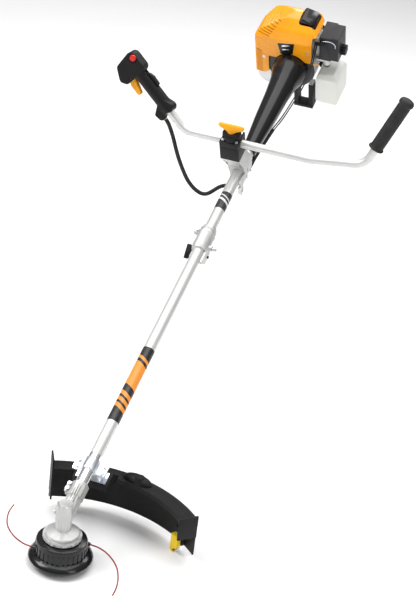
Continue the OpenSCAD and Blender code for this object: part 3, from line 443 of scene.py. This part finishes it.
def cast_metal(name, colour, rough=0.5):
    """Sand-cast alloy: pebbled skin, darker in the low spots."""
    mat, tree, s = new_material(name)
    v = coordinates(tree)
    skin = noise_node(tree, v, 620, 5, 0.65)
    cloud = noise_node(tree, v, 22, 4)
    base = ramp(tree, cloud, [(0.3, shade(colour, 0.85)), (0.7, shade(colour, 1.08))])
    g = tree.nodes.new("ShaderNodeNewGeometry")
    low = ramp(tree, g.outputs["Pointiness"], [(0.42, (0.8, 0.8, 0.8)), (0.49, (0, 0, 0))])
    tree.links.new(blended(tree, low, base, shade(colour, 0.45)), s.inputs["Base Color"])
    s.inputs["Metallic"].default_value = 0.75
    tree.links.new(spread(tree, skin, rough * 0.8, rough * 1.25), s.inputs["Roughness"])
    bump(tree, s, [(skin, 0.5, 0.22), (cloud, 0.15, 0.8)])
    return mat


def drawn_metal(name, colour, rough, tilt=RISE, stretch=(900, 14, 900), metallic=0.9):
    """Drawn or ground metal: fine lines along its length and faint handling marks."""
    mat, tree, s = new_material(name)
    lines = noise_node(tree, coordinates(tree, stretch, tilt), 1, 3)
    marks = noise_node(tree, coordinates(tree), 30, 6, 0.7)
    base = ramp(tree, lines, [(0.3, shade(colour, 0.9)), (0.7, shade(colour, 1.06))])
    tree.links.new(base, s.inputs["Base Color"])
    s.inputs["Metallic"].default_value = metallic
    tree.links.new(spread(tree, marks, rough * 0.75, rough * 1.3), s.inputs["Roughness"])
    bump(tree, s, [(lines, 0.12, 0.03), (marks, 0.05, 0.1)])
    return mat


def zinc(name, colour, rough=0.28):
    """Zinc plate: cloudy spangle with a bright skin."""
    mat, tree, s = new_material(name)
    v = coordinates(tree)
    cells = tree.nodes.new("ShaderNodeTexVoronoi")
    cells.inputs["Scale"].default_value = 240
    tree.links.new(v, cells.inputs["Vector"])
    cloud = noise_node(tree, v, 60, 4)
    base = ramp(tree, cells.outputs["Distance"], [(0.1, shade(colour, 0.88)), (0.6, shade(colour, 1.08))])
    tree.links.new(base, s.inputs["Base Color"])
    s.inputs["Metallic"].default_value = 0.95
    tree.links.new(spread(tree, cloud, rough * 0.7, rough * 1.5), s.inputs["Roughness"])
    bump(tree, s, [(cells.outputs["Distance"], 0.08, 0.05), (cloud, 0.1, 0.15)])
    return mat


def rubber(name, colour, rough=0.62):
    """Soft rubber or cable sleeve: dull, dusty tone with a fine skin."""
    mat, tree, s = new_material(name)
    v = coordinates(tree)
    dust = noise_node(tree, v, 45, 6, 0.7)
    fine = noise_node(tree, v, 1300, 2)
    base = ramp(tree, dust, [(0.35, colour), (0.75, shade(tuple(c + 0.012 for c in colour), 1.2))])
    tree.links.new(base, s.inputs["Base Color"])
    tree.links.new(spread(tree, dust, rough * 0.8, min(1.0, rough * 1.2)), s.inputs["Roughness"])
    s.inputs["Specular IOR Level"].default_value = 0.3
    bump(tree, s, [(fine, 0.35, 0.06)])
    return mat


def milky(name, colour):
    """Translucent tank plastic, with a cloudy, uneven tone."""
    mat, tree, s = new_material(name)
    v = coordinates(tree)
    cloud = noise_node(tree, v, 18, 4)
    fine = noise_node(tree, v, 500, 3)
    base = ramp(tree, cloud, [(0.3, shade(colour, 0.93)), (0.75, colour)])
    tree.links.new(base, s.inputs["Base Color"])
    tree.links.new(spread(tree, fine, 0.28, 0.42), s.inputs["Roughness"])
    s.inputs["Subsurface Weight"].default_value = 0.5
    s.inputs["Subsurface Radius"].default_value = (0.012, 0.012, 0.01)
    s.inputs["Transmission Weight"].default_value = 0.12
    bump(tree, s, [(fine, 0.18, 0.08), (cloud, 0.15, 0.8)])
    return mat


def decal(name, ground, ink, stripes):
    """Printed film: ground colour with slanting bars of ink between the places in stripes, in metres."""
    mat, tree, s = new_material(name)
    place = tree.nodes.new("ShaderNodeSeparateXYZ")
    tree.links.new(coordinates(tree, (1, 1, 1), RISE), place.inputs[0])
    slant = tree.nodes.new("ShaderNodeMath")
    slant.operation = "MULTIPLY_ADD"
    tree.links.new(place.outputs["X"], slant.inputs[0])
    slant.inputs[1].default_value = 0.5
    tree.links.new(place.outputs["Y"], slant.inputs[2])
    wave = tree.nodes.new("ShaderNodeMapRange")
    wave.inputs["From Min"].default_value = stripes[0]
    wave.inputs["From Max"].default_value = stripes[1]
    tree.links.new(slant.outputs[0], wave.inputs["Value"])
    r = tree.nodes.new("ShaderNodeValToRGB")
    r.color_ramp.interpolation = "CONSTANT"
    marks = stripes[2]
    r.color_ramp.elements[0].position = 0
    r.color_ramp.elements[0].color = (*ground, 1)
    r.color_ramp.elements[1].position = marks[0][0]
    r.color_ramp.elements[1].color = (*ink, 1)
    for k, (a, b) in enumerate(marks):
        if k:
            r.color_ramp.elements.new(a).color = (*ink, 1)
        r.color_ramp.elements.new(b).color = (*ground, 1)
    tree.links.new(wave.outputs["Result"], r.inputs["Fac"])
    speck = noise_node(tree, coordinates(tree), 240, 5, 0.7)
    mask = ramp(tree, speck, [(0.45, (0, 0, 0)), (0.9, (0.25, 0.25, 0.25))])
    tree.links.new(blended(tree, mask, r.outputs["Color"], (0.3, 0.3, 0.3)), s.inputs["Base Color"])
    tree.links.new(spread(tree, speck, 0.22, 0.42), s.inputs["Roughness"])
    bump(tree, s, [(speck, 0.08, 0.04)])
    return mat


BLACK = (0.007, 0.007, 0.008)
MAT = {
    "tube": drawn_metal("tube_aluminium", (0.74, 0.74, 0.73), 0.4, metallic=0.6),
    "bar": drawn_metal("bar_aluminium", (0.7, 0.7, 0.69), 0.42, 0.0, (14, 900, 900), 0.55),
    "cast": cast_metal("cast_aluminium", (0.62, 0.62, 0.61)),
    "cast_dark": cast_metal("cast_dark", (0.36, 0.36, 0.35)),
    "gloss_black": plastic("housing_black", BLACK, 0.22, 0.0, 0.35),
    "matte_black": plastic("matte_black", (0.008, 0.008, 0.009), 0.5, 0.4),
    "guard_black": plastic("guard_black", (0.007, 0.007, 0.007), 0.5, 0.55),
    "orange": plastic("orange_shell", (0.94, 0.36, 0.008), 0.26, 0.0, 0.5, 0.1),
    "orange_knob": plastic("orange_knob", (0.94, 0.4, 0.012), 0.38, 0.1, 0.1, 0.1),
    "yellow": plastic("yellow_cover", (0.95, 0.66, 0.02), 0.42, 0.1, 0.0, 0.1),
    "red": plastic("red_button", (0.62, 0.02, 0.015), 0.3, 0.0, 0.3, 0.1),
    "nylon": plastic("red_nylon", (0.3, 0.012, 0.01), 0.42, 0.0, 0.0, 0.0),
    "rubber": rubber("rubber_grip", (0.014, 0.014, 0.014)),
    "sleeve": rubber("cable_sleeve", (0.01, 0.01, 0.01), 0.42),
    "zinc": zinc("zinc_steel", (0.72, 0.75, 0.8)),
    "gear": drawn_metal("gear_steel", (0.42, 0.42, 0.43), 0.35),
    "bearing": drawn_metal("bearing_steel", (0.6, 0.6, 0.62), 0.2),
    "chrome": zinc("chrome", (0.9, 0.9, 0.9), 0.12),
    "grey": plastic("filter_grey", (0.028, 0.028, 0.03), 0.42, 0.35),
    "tank": milky("tank_milky", (0.86, 0.87, 0.82)),
    "olive": rubber("primer_olive", (0.05, 0.055, 0.022), 0.4),
    "muffler": drawn_metal("muffler_steel", (0.3, 0.28, 0.27), 0.5),
}
LABEL_FROM = (247 - EYE[1]) * MM
LABEL_TO = (449 - EYE[1]) * MM
MAT["label"] = decal("label_print", (0.012, 0.012, 0.013), (0.9, 0.3, 0.03), (
    LABEL_FROM, LABEL_TO,
    [(0.12, 0.17), (0.2, 0.25), (0.28, 0.33), (0.42, 0.74), (0.78, 0.82)]))
MAT["label_small"] = decal("label_dark", (0.03, 0.03, 0.032), (0.75, 0.75, 0.75), (
    (884 - EYE[1]) * MM, (937 - EYE[1]) * MM, [(0.3, 0.42), (0.55, 0.62)]))

node_material = {
    "upper_tube": "tube", "lower_tube": "tube", "gear_case": "cast", "shaft_coupler": "cast",
    "bar_base": "cast", "fan_housing": "cast", "crankcase": "cast", "engine_cylinder": "cast",
    "piston": "cast", "flywheel": "cast", "carburettor": "cast", "head_housing": "gloss_black",
    "shaft_shroud": "gloss_black", "clamp_cap": "matte_black", "clamp_block": "matte_black",
    "plug_cover": "gloss_black", "starter_housing": "gloss_black", "guard": "guard_black",
    "bump_knob": "matte_black", "throttle_body": "matte_black", "lockout_lever": "matte_black",
    "coupler_knob": "matte_black", "filter_knob": "matte_black", "fuel_cap": "matte_black",
    "choke_lever": "matte_black", "starter_handle": "matte_black", "spool": "matte_black",
    "starter_pulley": "matte_black", "engine_cover": "orange", "wing_knob": "orange_knob",
    "throttle_trigger": "orange_knob", "cutter_cover": "yellow", "left_line": "nylon",
    "right_line": "nylon", "wound_line": "nylon", "stop_switch": "red", "grip": "rubber",
    "throttle_cable": "sleeve", "guard_bracket": "zinc", "line_cutter": "zinc", "boom_screws": "zinc",
    "frame_screws": "zinc", "coupler_latch": "zinc", "carb_lever": "zinc", "bevel_gear": "gear",
    "bevel_pinion": "gear", "drive_shaft_lower": "gear", "drive_shaft_upper": "gear",
    "clutch_drum": "gear", "clutch_shoes": "gear", "crankshaft": "gear", "con_rod": "gear",
    "arbor": "gear", "boom_bearings": "bearing", "drive_bearings": "bearing", "filter_box": "grey",
    "fuel_tank": "tank", "primer_bulb": "olive", "muffler": "muffler", "handlebar": "bar",
}
for node, key in node_material.items():
    obj = frame["nodes"][node]
    obj.data.materials.clear()
    obj.data.materials.append(MAT[key])

slot_of = {p["node"]: p["material_slot"] for p in frame["record"]["subparts"]}


def piece(obj, material, body, slot, *replaced):
    """Gives a new piece its material, the body it rides on, and the CAD nodes it stands for."""
    if material:
        obj.data.materials.clear()
        obj.data.materials.append(MAT[material])
    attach(obj, body)
    if replaced:
        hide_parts(*replaced)
    return obj


# ---------------------------------------------------------------- cords: throttle cable and cutting lines
def from_shaft(x, t, u):
    return SHAFT @ Vector((x, t, u))


cable_points = [HEAD @ Vector(p) for p in [
    (-184, 848, 586), (-174, 847, 574), (-160, 845, 548), (-139, 846, 496), (-113, 852, 446),
    (-87, 859, 420), (-64, 868, 415)]]
cable_points += [from_shaft(*p) for p in [
    (-36, 985, -30), (-12, 1004, -34), (2, 1034, -38), (8, 1070, -34), (10, 1110, -33),
    (14, 1160, -34), (20, 1210, -32), (30, 1250, -27), (40, 1300, -16), (52, 1350, 4), (60, 1385, 30),
    (62, 1402, 52), (61, 1420, 66), (59, 1434, 70), (57, 1442, 71)]]
SLEEVE_R, WIRE_R = 5.0, 1.7
STRAND_APART = Vector((0.0045, 0, -0.002))
WIRE_FROM = 13                          # point of the route where the sleeve ends
cable_path = smooth_route(cable_points, 8)
sleeve_path = cable_path[:WIRE_FROM * 8 + 1]
wire_path = cable_path[WIRE_FROM * 8:]

sleeve = tube("throttle_sleeve", sleeve_path, SLEEVE_R * MM, None, 16)
sleeve.data.materials.append(MAT["sleeve"])
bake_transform(sleeve)
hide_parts("throttle_cable")
for name, side in (("throttle_wire", -0.5), ("switch_lead", 0.5)):
    strand_path = [p + side * STRAND_APART for p in wire_path]
    strand = tube(name, strand_path, WIRE_R * MM, None, 12)
    piece(strand, "sleeve", "root", "cable_sleeve")

LINE_R = 1.5
line_points = [
    (50, 33, -66), (60, 33, -66), (69, 32, -66), (84, 27, -66), (100, 18, -66.5), (116, 5, -67),
    (130, -11, -68), (141, -30, -69), (149, -50, -70), (154, -70, -71), (156, -90, -72)]
for name, half in (("right_line", 0), ("left_line", math.pi)):
    path = [HEAD @ turn("Z", half) @ p for p in smooth_route(line_points, 6)]
    line = tube(name + "_nylon", path, LINE_R * MM, None, 12)
    piece(line, "nylon", "head", "red_nylon", name)


# ---------------------------------------------------------------- CAD forms with their edges finished
body_of = {n: b for b, ns in frame["record"]["behaviour"]["bodies"].items() for n in ns}


def form_of(node, width, segments=3, angle=32, name=None):
    """Copy of a CAD node's form with merged faces and rounded edges."""
    mesh = frame["nodes"][node].data.copy()
    obj = link(name or node + "_form", mesh)
    bm = bmesh.new()
    bm.from_mesh(mesh)
    bmesh.ops.remove_doubles(bm, verts=bm.verts, dist=2e-6)
    bmesh.ops.dissolve_limit(bm, angle_limit=math.radians(0.6), verts=bm.verts, edges=bm.edges)
    bm.to_mesh(mesh)
    bm.free()
    if width:
        softened(obj, width, segments, angle)
    return finished(obj, 40)


def finish_node(node, width, segments=3, angle=32):
    obj = form_of(node, width, segments, angle)
    return piece(obj, node_material[node], body_of[node], slot_of[node], node)


EDGE = {
    "gear_case": 1.4, "guard": 1.0, "guard_bracket": 0.5, "cutter_cover": 1.2, "head_housing": 0.7,
    "bump_knob": 1.2, "shaft_coupler": 1.2, "coupler_knob": 1.2, "bar_base": 1.8, "clamp_block": 1.8,
    "clamp_cap": 1.8, "wing_knob": 1.2, "shaft_shroud": 0.8, "fan_housing": 1.6, "crankcase": 1.0,
    "plug_cover": 1.0, "carburettor": 1.0, "filter_box": 1.6, "fuel_tank": 4.0,
    "starter_housing": 1.4, "filter_knob": 1.4, "fuel_cap": 1.0, "primer_bulb": 0.8, "muffler": 2.0,
    "starter_handle": 0.8, "throttle_trigger": 1.4, "lockout_lever": 0.9,
    "stop_switch": 0.8, "boom_screws": 0.35, "frame_screws": 0.35, "coupler_latch": 0.8,
    "carb_lever": 0.4, "choke_lever": 0.8, "line_cutter": 0.3, "engine_cylinder": 0.4,
}
for node, width in EDGE.items():
    finish_node(node, width)


# ---------------------------------------------------------------- engine cover, badge and housing front
COVER_FROM, COVER_TO = ENGINE_AT - 6, ENGINE_AT + 116
COVER_WALL = 2.6
FAN_R = 64.0
SHROUD_GAP = 47.5                       # radius of the opening in the front wall, round the shroud
front_view = [(-98, -34), (-98, 88), (-90, 102), (-70, 116), (-40, 130), (-10, COVER_TOP - 1),
              (28, COVER_TOP - 3), (50, 122), (66, 106), (78, 84), (80, 26), (0, 26), (-70, -34)]
side_view = [(COVER_FROM, -40), (COVER_FROM, 88), (COVER_FROM + 14, 113), (COVER_FROM + 40, 133),
             (COVER_FROM + 62, COVER_TOP), (COVER_FROM + 86, 130), (COVER_FROM + 108, 104),
             (COVER_TO, 62), (COVER_TO, -40)]
top_view = [(-98, COVER_FROM), (80, COVER_FROM), (80, COVER_FROM + 52), (66, COVER_FROM + 86),
            (40, COVER_FROM + 106), (0, COVER_TO), (-40, COVER_TO - 10), (-72, COVER_TO - 30),
            (-92, COVER_TO - 58), (-98, COVER_TO - 84)]
FRONT_ON = SHAFT @ shift(0, COVER_TO + 10, 0) @ turn("X", math.pi / 2)
SIDE_ON = SHAFT @ shift(-120, 0, 0) @ turn("Z", math.pi / 2) @ turn("X", math.pi / 2)
TOP_ON = SHAFT @ shift(0, 0, -50)
cover = crossed("cover_shell", [
    prism("cover_front", front_view, 150, FRONT_ON), prism("cover_side", side_view, 240, SIDE_ON),
    prism("cover_top", top_view, 250, TOP_ON)])
COVER_GRID, COVER_PASSES = 3.0, 9
melted(cover, COVER_GRID, COVER_PASSES)
shelled(cover, COVER_WALL)


def slot_cutter(x, u, length, lean, depth, height=3.2):
    """Bar that cuts one air slot through the front of the cover."""
    place = SHAFT @ shift(x, COVER_FROM - 4, u) @ turn("Y", math.radians(lean))
    return box("slot", (0, 0, 0), (length, depth, height), place)


cutters = [
    lathe("front_arch", [(0, COVER_FROM - 20), (SHROUD_GAP, COVER_FROM - 20), (SHROUD_GAP, ENGINE_AT),
                         (0, ENGINE_AT)], SHAFT @ ALONG, 128),
    lathe("arch", [(0, COVER_FROM + 3), (FAN_R, COVER_FROM + 3), (FAN_R, COVER_TO + 20),
                   (0, COVER_TO + 20)], SHAFT @ ALONG, 128),
    box("plug_gap", (12, CYL_AT - 36, COVER_TOP - 32), (56, CYL_AT + 24, COVER_TOP + 30), SHAFT, 6, 4),
    box("intake_side", (56, COVER_FROM - 10, 30), (120, CYL_AT + 28, 106.5), SHAFT),
    box("under", (-110, COVER_FROM - 10, -60), (110, COVER_TO + 30, -32), SHAFT),
    box("under_right", (-60, COVER_FROM + 3, -60), (110, COVER_TO + 30, 37.5), SHAFT),
    box("front_edge", (-60, COVER_FROM - 10, -60), (110, COVER_FROM + 3.2, 28), SHAFT),
    lathe("tailpipe_gap", [(0, 0), (8, 0), (8, 26), (0, 26)],
          SHAFT @ shift(-110, CYL_AT - 8, 60) @ turn("Y", math.pi / 2), 48)]
cutters += [slot_cutter(-90 + 4 * k, 98 + 5.5 * k, 32, 14, 62, 2.4) for k in range(7)]
cutters += [slot_cutter(-94, -24 + 8.5 * k, 18, 22, 26, 2.8) for k in range(9)]
cut(cover, cutters)
finished(cover, 34)
piece(cover, "orange", "root", slot_of["engine_cover"], "engine_cover")

FACING = SHAFT @ shift(0, COVER_FROM + 3.4, 0) @ turn("X", math.pi / 2)
badge = prism("cover_badge", [(-35, 77), (11, 85), (6, 49), (-27, 42)], 4.4, FACING, 1.4, 4)
piece(badge, "gloss_black", "root", "housing_black")
BAR_FACE = SHAFT @ shift(0, COVER_FROM - 0.6, 0) @ turn("X", math.pi / 2)
for name, outline in (("badge_bar_upper", [(-23, 73), (-1, 77), (-1.5, 73.5), (-22.5, 69.5)]),
                      ("badge_bar_lower", [(-21, 61), (-3, 64), (-3.5, 61), (-20.5, 58)])):
    piece(prism(name, outline, 0.9, BAR_FACE, 0.3, 2), "chrome", "root", "zinc_steel")

plate = lathe("housing_front_ring", [
    (46.4, ENGINE_AT - 3), (60, ENGINE_AT - 3), (63, ENGINE_AT - 1.6), (63.5, ENGINE_AT), (46.4, ENGINE_AT)],
    SHAFT @ ALONG, 128)
piece(plate, "gloss_black", "root", "housing_black")

FOOT_BELOW = -65.0
housing = bpy.data.objects["fan_housing_form"]
housing.data.materials.append(MAT["matte_black"])
to_shaft = SHAFT.inverted()
for face in housing.data.polygons:
    if (to_shaft @ face.center).z < FOOT_BELOW:
        face.material_index = 1

GUARD_DOME_TURN = math.radians(79)
DOME_HALF = (17, 36, 15)                # half width, half length and height of the moulded dome
dome_place = (HEAD @ shift(*GUARD_CENTRE, 0) @ turn("Z", GUARD_DOME_TURN)
              @ shift(GUARD_R - 22, 6, GUARD_TOP - 1) @ Matrix.Diagonal((*DOME_HALF, 1)))
quarter = [(math.cos(math.radians(a)), math.sin(math.radians(a))) for a in range(0, 90, 9)]
dome = lathe("guard_dome", [(0, -0.05)] + [(1, -0.05)] + quarter + [(0, 1)], dome_place, 64)
piece(dome, "guard_black", body_of["guard"], slot_of["guard"])

clip = tube("filter_clip", smooth_route([
    (76, CYL_AT - 44, 92), (84, CYL_AT - 46, 96), (96, CYL_AT - 45, 97), (106, CYL_AT - 44, 94),
    (112, CYL_AT - 42, 86), (112, CYL_AT - 41, 76)], 8), 1.1, SHAFT, 12)
piece(clip, "zinc", "root", "zinc_steel")

handle = form_of("throttle_body", 0)
HANDLE_GRID, HANDLE_PASSES = 1.3, 9
melted(handle, HANDLE_GRID, HANDLE_PASSES)
piece(handle, "matte_black", "handlebar", slot_of["throttle_body"], "throttle_body")


# ---------------------------------------------------------------- handlebar and grips
bar_route = [mirrored(left_end)] + [mirrored(p) for p in reversed(left_bend)]
bar_route += right_first + right_second + [right_end]


def close_set(points, spacing):
    """Points along straight runs no further apart than spacing."""
    out = [points[0]]
    for a, b in zip(points, points[1:]):
        count = max(1, math.ceil((b - a).length / spacing))
        out += [a + (b - a) * (k + 1) / count for k in range(count)]
    return out


bar = tube("handlebar_tube", close_set(bar_route, 20), BAR_R, BAR, 40, hollow=1.5)
piece(bar, "bar", "handlebar", slot_of["handlebar"], "handlebar")


def ribbed(start, end, radius, pitch, depth):
    """Outline of a row of shallow rings between two heights."""
    out = []
    count = round((end - start) / pitch)
    for k in range(count):
        h = start + (end - start) * k / count
        out += [(radius - depth, h), (radius, h + 0.25 * pitch), (radius, h + 0.75 * pitch)]
    return out + [(radius - depth, end)]


GRIP_L, GRIP_R = 140.0, 16.0
grip_outline = [(BAR_R, 8 - GRIP_L), (GRIP_R + 2.4, 8 - GRIP_L), (GRIP_R + 3, 9.2 - GRIP_L)]
grip_outline += [(GRIP_R + 2.6, 11.6 - GRIP_L), (GRIP_R + 0.6, 13 - GRIP_L), (GRIP_R, 15 - GRIP_L)]
grip_outline += ribbed(18 - GRIP_L, -10, GRIP_R, 4.5, 0.5)
grip_outline += [(GRIP_R, -7), (GRIP_R + 1.2, -5.4), (GRIP_R + 2, -4), (GRIP_R + 2, 0)]
grip_outline += [(GRIP_R + 1.4, 3), (GRIP_R - 0.6, 5.6), (GRIP_R - 4, 7.2), (GRIP_R - 9, 7.9), (0, 8)]
grip_outline += [(0, 0.2), (BAR_R, 0.2)]
grip = lathe("grip_sleeve", grip_outline, TIP, 64)
piece(grip, "rubber", "handlebar", slot_of["grip"], "grip")


# ---------------------------------------------------------------- printed wraps and bands on the tubes
def band(name, radius, start, end, material, body, slot, thick=0.16):
    """Thin film or ring wrapped round the shaft."""
    outline = [(radius, start), (radius + thick, start), (radius + thick, end), (radius, end)]
    return piece(lathe(name, outline, SHAFT @ ALONG, 72), material, body, slot)


band("lower_wrap", TUBE_R, 247, 449, "label", "lower_boom", "housing_black")
band("upper_wrap", TUBE_R, 884, 937, "label_small", "root", "housing_black")
band("bracket_sleeve", TUBE_R, 88, 119, "chrome", "lower_boom", "zinc_steel", 0.5)
band("bracket_sleeve_end", TUBE_R, 149, 160, "chrome", "lower_boom", "zinc_steel", 0.5)


# ---------------------------------------------------------------- floor, backdrop and light
HEAD_LOW = -105.5
SIZE = 30.0
floor_z = (HEAD @ Vector((0, 0, HEAD_LOW))).z
floor_data = bpy.data.meshes.new("floor")
corners = [(-SIZE, -SIZE), (SIZE, -SIZE), (SIZE, SIZE), (-SIZE, SIZE)]
floor_data.from_pydata([(x, y, floor_z) for x, y in corners], [], [(0, 1, 2, 3)])
floor = link("floor", floor_data)
floor_mat, floor_tree, floor_shader = new_material("floor_paper")
paper = noise_node(floor_tree, coordinates(floor_tree), 3, 3)
paper_tone = ramp(floor_tree, paper, [(0.3, (0.93, 0.93, 0.93)), (0.7, (0.95, 0.95, 0.95))])
floor_tree.links.new(paper_tone, floor_shader.inputs["Base Color"])
floor_shader.inputs["Roughness"].default_value = 0.9
floor_shader.inputs["Specular IOR Level"].default_value = 0.1
floor.data.materials.append(floor_mat)

world = bpy.data.worlds.new("studio")
world.use_nodes = True
sky = world.node_tree
where = sky.nodes.new("ShaderNodeTexCoord")
height = sky.nodes.new("ShaderNodeSeparateXYZ")
sky.links.new(where.outputs["Generated"], height.inputs[0])
tone = ramp(sky, height.outputs["Z"],
            [(0.0, (0.22, 0.22, 0.22)), (0.35, (0.3, 0.3, 0.3)), (1.0, (0.75, 0.75, 0.75))])
sky.links.new(tone, sky.nodes["Background"].inputs["Color"])
sky.nodes["Background"].inputs["Strength"].default_value = 0.8
bpy.context.scene.world = world


def softbox(name, at, towards, size, power):
    data = bpy.data.lights.new(name, "AREA")
    data.shape = "RECTANGLE"
    data.size, data.size_y = size
    data.energy = power
    lamp = link(name, data)
    lamp.location = at
    lamp.rotation_euler = (Vector(towards) - Vector(at)).to_track_quat("-Z", "Y").to_euler()
    return lamp


MIDDLE = (0, -0.1, 0)
softbox("key", (-2.6, -1.6, 3.0), MIDDLE, (1.8, 1.8), 105)
softbox("fill", (3.0, -2.0, 1.6), MIDDLE, (1.2, 2.4), 30)
softbox("rim", (0.5, 3.2, 3.0), MIDDLE, (3.4, 1.2), 70)
softbox("top", (0.0, 0.0, 4.2), MIDDLE, (4.0, 4.0), 130)

bpy.context.scene.view_settings.view_transform = "Standard"
